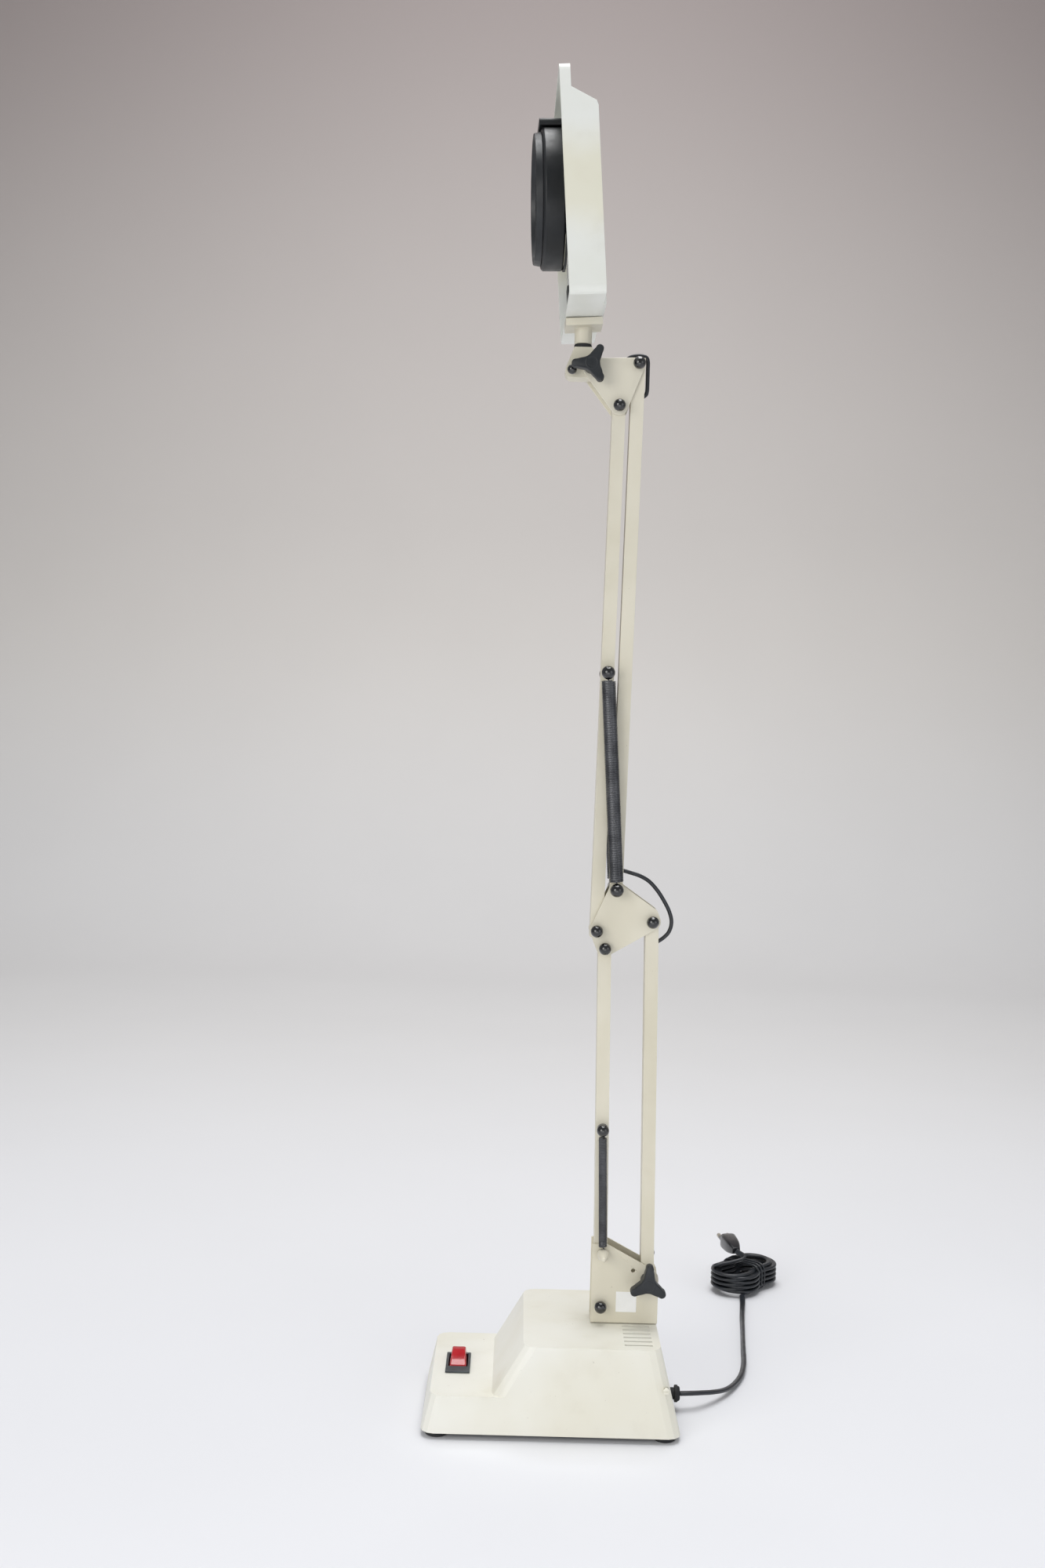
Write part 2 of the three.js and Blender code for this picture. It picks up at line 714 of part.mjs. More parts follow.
// The conical peg on the near cheek that the lower spring hooks on.
place(
  "lower_spring_post",
  lathe(
    [
      [0, CHANNEL.outer + GAP],
      [3.5, CHANNEL.outer + GAP],
      [2.9, STUD.eyeY],
      [2.9, STUD.eyeY + 1.1],
      [4.3, STUD.eyeY + 1.6],
      [3.6, 19],
      [1.4, 25.5],
      [0, 26.2],
    ],
    14,
  )
    .rotateX(Math.PI)
    .translate(LOWER_SPRING.foot.x, 0, LOWER_SPRING.foot.z),
  ARM_PAINT,
);

place(
  "lower_knob_bolt",
  rodAlongY(LOWER_BACK.x, LOWER_BACK.z, BOLT.radius, -19.5, 19.5),
  ZINC,
);
place("lower_knob_near", clampKnob(LOWER_BACK, -1, 87), SLATE);
place("lower_knob_far", clampKnob(LOWER_BACK, 1, 68), SLATE);

// ---------------------------------------------------------------- lower arm
const lowerLength = reachLength(LOWER_REACH);
const lowerStudHeight = LOWER_SPRING.head.z - LOWER_FRONT.z;
const lowerFront = pivotGroup(LOWER_FRONT, LOWER_REACH);
const lowerStudHole = rodAlongY(0, lowerStudHeight, STUD.hole, -10, 10);
place("lower_front_link", armTube(lowerLength, [lowerStudHole]), ARM_PAINT, lowerFront);
place(
  "lower_spring_stud",
  ballBolt({ x: 0, z: lowerStudHeight }, { shank: STUD.radius, nearY: 17, farY: 11.9 }),
  BLACK_NUT,
  lowerFront,
);
const lowerBack = pivotGroup(LOWER_BACK, LOWER_REACH);
const leadOutlet = rodAlongX(0, lowerLength - 14, 2.2, 0, 10);
place("lower_back_link", armTube(lowerLength, [leadOutlet]), ARM_PAINT, lowerBack);

const springReach = (spring) => ({ x: spring.head.x - spring.foot.x, z: spring.head.z - spring.foot.z });
const lowerSpring = pivotGroup(LOWER_SPRING.foot, springReach(LOWER_SPRING));
place("lower_spring", springCoil(LOWER_SPRING, -1), SPRING_STEEL, lowerSpring);
place("lower_spring_eye", springEye(LOWER_SPRING, -1), SPRING_STEEL, lowerSpring);

// ---------------------------------------------------------------- elbow
function elbowPlate(side) {
  const outline = hullOutline([
    [UPPER_FRONT.x, UPPER_FRONT.z, 5],
    [ELBOW_FRONT.x, ELBOW_FRONT.z, 6],
    [ELBOW_BACK.x, ELBOW_BACK.z, 6],
    [UPPER_BACK.x, UPPER_BACK.z, 5],
    [ELBOW_BACK.x + 2, ELBOW_BACK.z + 7, 1.5],
  ]);
  const inner = CHANNEL.outer - CHANNEL.thickness;
  const [y0, y1] = side < 0 ? [-CHANNEL.outer, -inner] : [inner, CHANNEL.outer];
  const holes = [UPPER_FRONT, ELBOW_FRONT, ELBOW_BACK, UPPER_BACK];
  return cut(slab(outline, y0, y1), ...holes.map(({ x, z }) => rodAlongY(x, z, BOLT.hole, -12, 12)));
}
place("elbow_plate_near", elbowPlate(-1), ARM_PAINT);
place("elbow_plate_far", elbowPlate(1), ARM_PAINT);
place("elbow_bolt_lower_front", ballBolt(ELBOW_FRONT, {}), BLACK_NUT);
place("elbow_bolt_lower_back", ballBolt(ELBOW_BACK, {}), BLACK_NUT);
place("elbow_bolt_upper_front", ballBolt(UPPER_FRONT, {}), BLACK_NUT);
place(
  "elbow_bolt_upper_back",
  ballBolt(UPPER_BACK, { nearY: STUD.ballY, farY: STUD.ballY, ball: STUD.ball }),
  BLACK_NUT,
);
place("elbow_lead", tube(ELBOW_LEAD_ROUTE, LEAD.radius, LEAD.sides, LEAD.steps), RUBBER);

// ---------------------------------------------------------------- upper arm
const upperLength = reachLength(UPPER_REACH);
const upperStudHeight = UPPER_SPRING.head.z - UPPER_FRONT.z;
const upperFront = pivotGroup(UPPER_FRONT, UPPER_REACH);
const upperStudHole = rodAlongY(0, upperStudHeight, STUD.hole, -10, 10);
place("upper_front_link", armTube(upperLength, [upperStudHole]), ARM_PAINT, upperFront);
place(
  "upper_spring_stud",
  ballBolt(
    { x: 0, z: upperStudHeight },
    { shank: STUD.radius, nearY: STUD.ballY, farY: STUD.ballY, ball: STUD.ball },
  ),
  BLACK_NUT,
  upperFront,
);
const upperBack = pivotGroup(UPPER_BACK, UPPER_REACH);
const lowLeadHole = rodAlongX(0, 12.6, 2.2, 0, 10);
const highLeadHole = rodAlongX(0, upperLength - 18, 2.2, 0, 10);
place("upper_back_link", armTube(upperLength, [lowLeadHole, highLeadHole]), ARM_PAINT, upperBack);

const upperSpring = pivotGroup(UPPER_SPRING.foot, springReach(UPPER_SPRING));
for (const [side, sign] of [["near", -1], ["far", 1]]) {
  place(`upper_spring_${side}`, springCoil(UPPER_SPRING, sign), SPRING_STEEL, upperSpring);
  place(`upper_spring_eye_${side}`, springEye(UPPER_SPRING, sign), SPRING_STEEL, upperSpring);
}

// ---------------------------------------------------------------- head bracket
function headPlate(side) {
  const outline = hullOutline([
    [HEAD_FRONT.x, HEAD_FRONT.z, 6.2],
    [HEAD_BACK.x, HEAD_BACK.z, 4.6],
    [TILT.x, TILT.z, 6.3],
  ]);
  const inner = CHANNEL.outer - CHANNEL.thickness;
  const [y0, y1] = side < 0 ? [-CHANNEL.outer, -inner] : [inner, CHANNEL.outer];
  const holes = [HEAD_FRONT, HEAD_BACK, TILT];
  return cut(slab(outline, y0, y1), ...holes.map(({ x, z }) => rodAlongY(x, z, BOLT.hole, -12, 12)));
}
place("head_plate_near", headPlate(-1), ARM_PAINT);
place("head_plate_far", headPlate(1), ARM_PAINT);
place("head_bolt_front", ballBolt(HEAD_FRONT, {}), BLACK_NUT);
place("head_bolt_back", ballBolt(HEAD_BACK, {}), BLACK_NUT);
place(
  "tilt_bolt",
  lathe(
    [
      [0, -19.5],
      [BOLT.radius, -19.5],
      [BOLT.radius, 10.4],
      [3.7, 12.3],
      [4.1, 13.9],
      [3.5, 16.1],
      [1.8, 17.7],
      [0, 18],
    ],
    14,
  ).translate(TILT.x, 0, TILT.z),
  BLACK_NUT,
);
place("head_knob", clampKnob(TILT, -1, 62), SLATE);
place("head_lead", tube(HEAD_LEAD_ROUTE, LEAD.radius, LEAD.sides, 18), RUBBER);

// ---------------------------------------------------------------- knuckle and neck
function knuckle() {
  const half = 7.6;
  const outline = hullOutline([
    [TILT.x, TILT.z, 7.2],
    [KNUCKLE_BOLT.x, KNUCKLE_BOLT.z, 4.8],
    [NECK.x - NECK.tubeRadius, NECK.shoulder],
    [NECK.x + NECK.tubeRadius, NECK.shoulder],
  ]);
  const spindle = rodAlongZ(NECK.x, 0, NECK.spindle, NECK.shoulder - 1, 769);
  return geometryOf(
    solid(slab(outline, -half, half))
      .add(solid(spindle))
      .subtract(solid(rodAlongY(TILT.x, TILT.z, BOLT.hole, -12, 12)))
      .subtract(solid(rodAlongY(KNUCKLE_BOLT.x, KNUCKLE_BOLT.z, STUD.hole, -12, 12))),
  );
}
place("tilt_knuckle", knuckle(), ARM_PAINT);
place(
  "knuckle_bolt",
  ballBolt(KNUCKLE_BOLT, { shank: STUD.radius, nearY: 11.4, farY: 11.4, ball: 3.4 }),
  BLACK_NUT,
);

const turned = new THREE.Group();
turned.position.set(NECK.x, 0, 0);
turned.rotation.z = radians(HEAD_YAW);
lamp.add(turned);

const neckBracket = geometryOf(
  solid(box(-13.2, 12.6, -12, 12, -6.6, -1.3).rotateY(-radians(HEAD.lean)).translate(0, 0, HEAD.z))
    .add(solid(rodAlongZ(0, 0, NECK.tubeRadius, NECK.tubeBottom, 770)))
    .subtract(solid(rodAlongZ(0, 0, NECK.bore, 750, 770))),
);
place("neck_bracket", neckBracket, ARM_PAINT, turned);

// ---------------------------------------------------------------- lamp head
const head = new THREE.Group();
head.position.set(0, 0, HEAD.z);
head.rotation.y = -radians(HEAD.lean);
turned.add(head);

// The housing is a shallow tray that opens towards -X, with a lip along its top.
const HOUSING = { lipTop: 149.4, lipFoot: 133.2, lipBack: -6.1, shoulder: 123.6, shoulderTop: 120.4 };
const housingOutline = [
  [HEAD.front, -0.6],
  [HEAD.back, -1],
  [HEAD.back, HOUSING.shoulderTop],
  [HEAD.back - 1, HOUSING.shoulder],
  [HOUSING.lipBack, HOUSING.lipFoot],
  [HOUSING.lipBack, HOUSING.lipTop],
  [HEAD.front, HOUSING.lipTop],
];
const hollowOutline = [
  [HEAD.front - 5, 1.4],
  [HEAD.back - HEAD.wall, 1],
  [HEAD.back - HEAD.wall, HOUSING.shoulderTop - 0.8],
  [HOUSING.lipBack - HEAD.wall, HOUSING.lipFoot - 1.6],
  [HOUSING.lipBack - HEAD.wall, HOUSING.lipTop - HEAD.wall],
  [HEAD.front - 5, HOUSING.lipTop - HEAD.wall],
];
// The rounded front view of the tray, drawn in from its edge and extruded through its depth.
const CORNER = { bottom: -1, low: 6, high: 5 };
function frontView(inset) {
  const lowY = HEAD.halfWidth - CORNER.low;
  const lowZ = CORNER.bottom + CORNER.low;
  const highY = HEAD.halfWidth - CORNER.high;
  const highZ = HOUSING.lipTop - CORNER.high;
  const outline = hullOutline([
    [-lowY, lowZ, CORNER.low - inset],
    [lowY, lowZ, CORNER.low - inset],
    [-highY, highZ, CORNER.high - inset],
    [highY, highZ, CORNER.high - inset],
  ]);
  return solid(slabAlongX(outline, HEAD.front - 10, HEAD.back + 10));
}
const VIEW_HOLE = { radius: 43, height: 83 };
const PAD = { depth: 2.6, halfWidth: 34, bottom: 1.5, top: 30 };
const holderSides = [["near", -1], ["far", 1]];
place(
  "head_housing",
  geometryOf(
    solid(slab(housingOutline, -HEAD.halfWidth, HEAD.halfWidth))
      .intersect(frontView(0))
      .subtract(solid(slab(hollowOutline, -HEAD.halfWidth, HEAD.halfWidth)).intersect(frontView(HEAD.wall)))
      .add(
        solid(
          box(HEAD.back - 1, HEAD.back + PAD.depth, -PAD.halfWidth, PAD.halfWidth, PAD.bottom, PAD.top),
        ),
      )
      .subtract(solid(rodAlongX(0, VIEW_HOLE.height, VIEW_HOLE.radius, 0, 30, 40))),
  ),
  HEAD_PAINT,
  head,
);

// A small lamp with its holder stands at each side of the lens.
const LAMP = { x: -1.8, y: 60, foot: 20, shoulder: 38, top: 76, radius: 5.5 };
for (const [side, sign] of holderSides) {
  const y = sign * LAMP.y;
  const holder = box(LAMP.x - 6, HEAD.back - HEAD.wall - GAP, y - 8, y + 8, LAMP.foot, LAMP.shoulder);
  place(`lamp_holder_${side}`, holder, SLATE, head);
  const bulb = latheAlongZ(
    [
      [0, LAMP.shoulder + GAP],
      [LAMP.radius, LAMP.shoulder + GAP],
      [LAMP.radius, LAMP.top - 5],
      [LAMP.radius * 0.7, LAMP.top - 1.6],
      [0, LAMP.top],
    ],
    14,
  ).translate(LAMP.x, y, 0);
  place(`lamp_bulb_${side}`, bulb, GLASS, head);
}

// ---------------------------------------------------------------- lens
const lens = new THREE.Group();
lens.position.set(LENS.x, 0, LENS.z);
lens.rotation.set(0, -radians(LENS.lean), radians(LENS.turn), "ZYX");
turned.add(lens);

const rear = -LENS.depth / 2;
const front = LENS.depth / 2;
const ringInner = LENS.radius - LENS.wall;
const ringProfile = [
  [ringInner - 2, rear],
  [LENS.radius - 1, rear],
  [LENS.radius, rear + 1],
  [LENS.radius, front - 1.5],
  [LENS.radius - 1.5, front],
  [ringInner, front],
  [ringInner, rear + 2.5],
  [ringInner - 2, rear + 2.5],
  [ringInner - 2, rear],
];
const clipOutline = hullOutline([
  [-20, LENS.radius - 2.7],
  [20, LENS.radius - 2.7],
  [-17.4, LENS.radius + 0.1, 2.6],
  [17.4, LENS.radius + 0.1, 2.6],
]);
const clip = slabAlongX(clipOutline, -front - 1.6, -rear - 1);
place("lens_ring", join(latheAlongX(ringProfile, 40), clip), SLATE, lens);
place(
  "lens_bezel",
  latheAlongX(
    [
      [ringInner - 3, front + GAP],
      [LENS.radius - 3, front + GAP],
      [LENS.radius - 4, front + LENS.bezel],
      [ringInner - 1.5, front + LENS.bezel],
      [ringInner - 3, front + 2],
      [ringInner - 3, front + GAP],
    ],
    40,
  ),
  SLATE,
  lens,
);
const lensProfile = [];
const lensSteps = 5;
const lensEdge = ringInner - GAP;
const crown = (t, height) => height * (1 - t * t);
for (let i = 0; i <= lensSteps; i++) {
  const t = i / lensSteps;
  lensProfile.push([lensEdge * t, rear + 4.6 - crown(t, 4)]);
}
for (let i = lensSteps; i >= 0; i--) {
  const t = i / lensSteps;
  lensProfile.push([lensEdge * t, rear + 8 + crown(t, 4.5)]);
}
place("lens", latheAlongX(lensProfile, 40), GLASS, lens);

// The carrier: a flat ring behind the lens ring with two legs that run back into the housing.
const legEnd = (sign) => 26 + 0.9 * sign; // the lens is turned a little more than the housing
const legs = [-1, 1].map((sign) => box(-rear + GAP, legEnd(sign), sign * 46 - 3, sign * 46 + 3, -9, 9));
const carrierRing = latheAlongX(
  [
    [45.4, rear - GAP - 1.6],
    [48.2, rear - GAP - 1.6],
    [48.2, rear - GAP],
    [45.4, rear - GAP],
    [45.4, rear - GAP - 1.6],
  ],
  40,
);
place("lens_carrier", join(carrierRing, ...legs), SLATE, lens);

export default lamp;
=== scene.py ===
"""Looks of a desk magnifying lamp, in metres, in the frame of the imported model.
+X is the cord end, -X the user's end, -Y the near side, +Z up."""

import math

import bmesh
import bpy
from mathutils import Matrix, Vector


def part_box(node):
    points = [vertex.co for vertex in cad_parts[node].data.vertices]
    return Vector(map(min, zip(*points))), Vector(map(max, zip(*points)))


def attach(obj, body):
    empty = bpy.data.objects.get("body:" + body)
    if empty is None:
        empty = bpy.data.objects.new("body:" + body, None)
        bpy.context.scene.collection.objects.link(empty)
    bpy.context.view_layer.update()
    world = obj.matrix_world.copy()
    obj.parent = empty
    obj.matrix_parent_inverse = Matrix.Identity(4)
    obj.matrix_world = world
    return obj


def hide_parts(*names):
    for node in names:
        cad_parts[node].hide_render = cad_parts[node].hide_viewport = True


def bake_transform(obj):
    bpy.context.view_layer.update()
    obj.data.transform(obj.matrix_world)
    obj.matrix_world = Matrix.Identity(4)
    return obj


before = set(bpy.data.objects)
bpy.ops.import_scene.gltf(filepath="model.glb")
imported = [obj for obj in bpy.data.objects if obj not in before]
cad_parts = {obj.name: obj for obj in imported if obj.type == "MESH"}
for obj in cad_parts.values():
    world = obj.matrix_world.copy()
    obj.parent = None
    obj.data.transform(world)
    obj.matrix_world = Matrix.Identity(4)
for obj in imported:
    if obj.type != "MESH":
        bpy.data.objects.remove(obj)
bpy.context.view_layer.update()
MM = 0.001


# ---------------------------------------------------------------- camera
CAMERA_AT = (-0.03108, -1.1686, 0.4873)
CAMERA_DOWN = 1.993  # degrees below level
CAMERA_ROLL = 1.531  # degrees about the line of sight
FOCAL_LENGTH_MM = 37.88
SENSOR_WIDTH_MM = 36

camera_data = bpy.data.cameras.new("camera")
camera_data.lens = FOCAL_LENGTH_MM
camera_data.sensor_width = SENSOR_WIDTH_MM
camera_data.clip_start = 0.05
camera = bpy.data.objects.new("camera", camera_data)
bpy.context.scene.collection.objects.link(camera)
camera.matrix_world = (
    Matrix.Translation(CAMERA_AT)
    @ Matrix.Rotation(math.radians(90 - CAMERA_DOWN), 4, "X")
    @ Matrix.Rotation(math.radians(CAMERA_ROLL), 4, "Z")
)
bpy.context.scene.camera = camera


# ---------------------------------------------------------------- materials
def srgb(red, green, blue):
    """An 8-bit colour as linear RGBA."""
    def linear(value):
        value /= 255
        return value / 12.92 if value <= 0.04045 else ((value + 0.055) / 1.055) ** 2.4
    return (linear(red), linear(green), linear(blue), 1.0)


class Nodes:
    """Short calls for building one node material."""

    def __init__(self, name):
        self.material = bpy.data.materials.new(name)
        self.material.use_nodes = True
        self.tree = self.material.node_tree
        self.shader = self.tree.nodes["Principled BSDF"]
        self.where = self.tree.nodes.new("ShaderNodeTexCoord").outputs["Object"]

    def link(self, source, target):
        self.tree.links.new(source, target)

    def set(self, **values):
        for name, value in values.items():
            socket = self.shader.inputs[name.replace("_", " ")]
            if hasattr(value, "is_output"):
                self.link(value, socket)
            else:
                socket.default_value = value

    def noise(self, scale, detail=3.0, stretch=(1, 1, 1), roughness=0.55):
        mapping = self.tree.nodes.new("ShaderNodeMapping")
        mapping.inputs["Scale"].default_value = stretch
        self.link(self.where, mapping.inputs["Vector"])
        node = self.tree.nodes.new("ShaderNodeTexNoise")
        node.inputs["Scale"].default_value = scale
        node.inputs["Detail"].default_value = detail
        node.inputs["Roughness"].default_value = roughness
        self.link(mapping.outputs["Vector"], node.inputs["Vector"])
        return node.outputs["Fac"]

    def span(self, value, low, high, to_low=0.0, to_high=1.0):
        node = self.tree.nodes.new("ShaderNodeMapRange")
        node.interpolation_type = "SMOOTHSTEP"
        for name, number in (
            ("From Min", low), ("From Max", high), ("To Min", to_low), ("To Max", to_high),
        ):
            node.inputs[name].default_value = number
        self.link(value, node.inputs["Value"])
        return node.outputs["Result"]

    def math(self, operation, first, second=0.0):
        node = self.tree.nodes.new("ShaderNodeMath")
        node.operation = operation
        for index, value in enumerate((first, second)):
            if hasattr(value, "is_output"):
                self.link(value, node.inputs[index])
            else:
                node.inputs[index].default_value = value
        return node.outputs["Value"]

    def mix(self, factor, first, second):
        node = self.tree.nodes.new("ShaderNodeMix")
        node.data_type = "RGBA"
        for name, kind, value in (("Factor", "VALUE", factor), ("A", "RGBA", first), ("B", "RGBA", second)):
            socket = next(s for s in node.inputs if s.name == name and s.type == kind)
            if hasattr(value, "is_output"):
                self.link(value, socket)
            else:
                socket.default_value = value
        return next(s for s in node.outputs if s.type == "RGBA")

    def axis(self, name):
        node = self.tree.nodes.new("ShaderNodeSeparateXYZ")
        self.link(self.where, node.inputs["Vector"])
        return node.outputs[name]

    def bump(self, height, strength, distance):
        node = self.tree.nodes.new("ShaderNodeBump")
        node.inputs["Strength"].default_value = strength
        node.inputs["Distance"].default_value = distance
        self.link(height, node.inputs["Height"])
        self.link(node.outputs["Normal"], self.shader.inputs["Normal"])


def paint(name, base, shade, roughness, texture=0.1, specks=0.6):
    """Old stoved paint: slow yellowing, fine orange peel and sparse dark specks."""
    n = Nodes(name)
    slow = n.span(n.noise(9, 3), 0.35, 0.7)
    colour = n.mix(slow, base, shade)
    speck = n.span(n.noise(520, 2), 0.74, 0.8, 0, specks)
    colour = n.mix(speck, colour, srgb(120, 108, 84))
    smudge = n.span(n.noise(38, 5), 0.52, 0.78, 0, 0.12)
    colour = n.mix(smudge, colour, srgb(176, 166, 140))
    n.set(Base_Color=colour)
    n.set(Roughness=n.span(n.noise(60, 4), 0.3, 0.7, roughness - 0.06, roughness + 0.08))
    n.set(Coat_Weight=0.12, Coat_Roughness=0.25)
    n.bump(n.noise(1500, 2), texture, 0.00008)
    return n


def plastic(name, base, shade, roughness, grain=0.12, scale=1400, coat=0.0):
    """A moulded plastic with a fine grain and rubbed, slightly duller patches."""
    n = Nodes(name)
    colour = n.mix(n.span(n.noise(60, 4), 0.35, 0.7), base, shade)
    n.set(Base_Color=colour, Coat_Weight=coat, Coat_Roughness=0.08)
    n.set(Roughness=n.span(n.noise(130, 4), 0.3, 0.7, roughness * 0.85, roughness * 1.2))
    n.bump(n.noise(scale, 2), grain, 0.00006)
    return n


def metal(name, base, shade, roughness, stretch=(1, 1, 1)):
    """A plated or drawn metal with fine lines and dull patches."""
    n = Nodes(name)
    colour = n.mix(n.span(n.noise(90, 4), 0.35, 0.7), base, shade)
    n.set(Base_Color=colour, Metallic=0.9)
    n.set(Roughness=n.span(n.noise(300, 3, stretch), 0.3, 0.7, roughness * 0.8, roughness * 1.3))
    n.bump(n.noise(900, 2, stretch), 0.08, 0.00004)
    return n


CREAM = paint("cream_paint", srgb(234, 233, 224), srgb(226, 223, 208), 0.46).material
ARM_PAINT = paint("arm_paint", srgb(220, 215, 198), srgb(208, 202, 181), 0.4).material

HEAT_Z = 0.846  # middle of the band that heat has yellowed, in metres
HEAT_CORE = 0.012  # half the height at full strength
HEAT_REACH = 0.042  # half the height at which it has faded out
HEAT_WAVER = 0.02
HEAT_STRENGTH = 0.42


def head_paint():
    """The head's paint, yellowed by heat in a wavering level band."""
    n = paint("head_paint", srgb(233, 235, 230), srgb(224, 226, 217), 0.36, specks=0.35)
    height = n.math("SUBTRACT", n.axis("Z"), HEAT_Z)
    waver = n.math("MULTIPLY", n.math("SUBTRACT", n.noise(30, 2), 0.5), HEAT_WAVER)
    from_middle = n.math("ABSOLUTE", n.math("ADD", height, waver))
    heat = n.span(from_middle, HEAT_CORE, HEAT_REACH, HEAT_STRENGTH, 0.0)
    clean = n.shader.inputs["Base Color"].links[0].from_socket
    n.set(Base_Color=n.mix(heat, clean, srgb(222, 214, 176)))
    return n.material


def rocker_plastic():
    """Glossy red plastic that lets a little light in."""
    n = plastic("red_rocker", srgb(196, 26, 38), srgb(176, 18, 30), 0.16, 0.02, 400, 0.5)
    n.set(Transmission_Weight=0.12, Subsurface_Weight=0.08)
    return n.material


HEAD_PAINT = head_paint()
KNOB_PLASTIC = plastic("knob_plastic", srgb(30, 34, 38), srgb(24, 28, 31), 0.45, 0.2, 900).material
RING_PLASTIC = plastic("ring_plastic", srgb(20, 23, 27), srgb(15, 18, 21), 0.4).material
BEZEL_PLASTIC = plastic("bezel_plastic", srgb(27, 31, 35), srgb(21, 24, 28), 0.4).material
SWITCH_PLASTIC = plastic("switch_plastic", srgb(58, 66, 70), srgb(47, 54, 58), 0.38, 0.1).material
NUT_PLASTIC = plastic("black_nut", srgb(8, 8, 10), srgb(14, 15, 17), 0.09, 0.02, 500, 0.8).material
RUBBER = plastic("black_rubber", srgb(28, 29, 31), srgb(38, 38, 39), 0.72, 0.3, 700).material
FLEX = plastic("cord_sheath", srgb(33, 37, 43), srgb(24, 27, 32), 0.38, 0.12, 500, 0.15).material
PLUG_PLASTIC = plastic("plug_plastic", srgb(26, 28, 31), srgb(36, 38, 41), 0.24, 0.08, 600, 0.35).material
ZINC = metal("zinc_plate", srgb(176, 177, 174), srgb(140, 140, 136), 0.36).material
DARK_STEEL = metal("spring_steel", srgb(112, 113, 116), srgb(84, 85, 88), 0.34, (1, 1, 6)).material
CORE_STEEL = metal("core_steel", srgb(96, 92, 86), srgb(74, 66, 56), 0.6, (1, 40, 1)).material
PIN_BRASS = metal("pin_metal", srgb(200, 196, 186), srgb(170, 164, 150), 0.25).material
WINDING = plastic("winding_tape", srgb(178, 120, 52), srgb(150, 92, 40), 0.4, 0.3, 300, 0.2).material
LABEL = plastic("blank_label", srgb(238, 238, 236), srgb(230, 230, 226), 0.5, 0.05).material
ROCKER_RED = rocker_plastic()


def clear_glass(name, tint, roughness, frosting=0.0):
    """Glass with a faint haze. Frosting takes away see-through and adds roughness."""
    n = Nodes(name)
    haze = n.span(n.noise(70, 4), 0.4, 0.75, roughness, roughness + 0.03 + frosting)
    n.set(Base_Color=n.mix(n.span(n.noise(25, 2), 0.3, 0.7), tint, srgb(255, 255, 255)))
    n.set(Roughness=haze, IOR=1.5, Transmission_Weight=1.0 - frosting)
    return n.material


LENS_GLASS = clear_glass("lens_glass", srgb(244, 250, 250), 0.01)
BULB_GLASS = clear_glass("bulb_glass", srgb(250, 250, 244), 0.25, 0.35)


# ---------------------------------------------------------------- mesh helpers
def new_object(name, mesh, material, smooth_angle=40):
    """A piece in one material, smooth across edges flatter than the angle in degrees."""
    mesh.shade_smooth()
    mesh.set_sharp_from_angle(angle=math.radians(smooth_angle))
    mesh.materials.clear()
    mesh.materials.append(material)
    piece = bpy.data.objects.new(name, mesh)
    bpy.context.scene.collection.objects.link(piece)
    return piece


def mesh_of(name, verts, faces):
    """A mesh with all its faces turned outwards."""
    mesh = bpy.data.meshes.new(name)
    mesh.from_pydata([tuple(v) for v in verts], [], faces)
    work = bmesh.new()
    work.from_mesh(mesh)
    bmesh.ops.recalc_face_normals(work, faces=work.faces)
    work.to_mesh(mesh)
    work.free()
    return mesh


def bevelled(piece, width, segments=3, angle=32):
    """Rounds the edges sharper than the angle and shades the flats flat."""
    modifier = piece.modifiers.new("bevel", "BEVEL")
    modifier.width = width
    modifier.segments = segments
    modifier.limit_method = "ANGLE"
    modifier.angle_limit = math.radians(angle)
    modifier.use_clamp_overlap = True
    modifier.harden_normals = True
    return piece


def apply_modifiers(piece):
    """Makes the piece's modifiers part of its mesh."""
    graph = bpy.context.evaluated_depsgraph_get()
    mesh = bpy.data.meshes.new_from_object(piece.evaluated_get(graph))
    piece.modifiers.clear()
    piece.data = mesh
    return piece


def refined(node, material, body, bevel=0.4 * MM, segments=3, angle=32, crisp=None):
    """The CAD node's own shape with its flats joined up and its edges rounded.
    crisp is (test, share): edges whose middle passes the test get that share of the rounding."""
    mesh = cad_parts[node].data.copy()
    work = bmesh.new()
    work.from_mesh(mesh)
    bmesh.ops.remove_doubles(work, verts=work.verts, dist=1e-6)
    bmesh.ops.dissolve_limit(
        work, angle_limit=math.radians(0.6), verts=work.verts, edges=work.edges,
        use_dissolve_boundaries=False,
    )
    bmesh.ops.recalc_face_normals(work, faces=work.faces)
    if crisp:
        test, share = crisp
        weight = work.edges.layers.float.new("bevel_weight_edge")
        for edge in work.edges:
            if edge.calc_face_angle(0) > math.radians(angle):
                middle = (edge.verts[0].co + edge.verts[1].co) / 2
                edge[weight] = share if test(middle) else 1.0
    work.to_mesh(mesh)
    work.free()
    piece = new_object("look_" + node, mesh, material, angle)
    bevelled(piece, bevel, segments, angle)
    if crisp:
        piece.modifiers["bevel"].limit_method = "WEIGHT"
    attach(piece, body)
    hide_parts(node)
    return piece


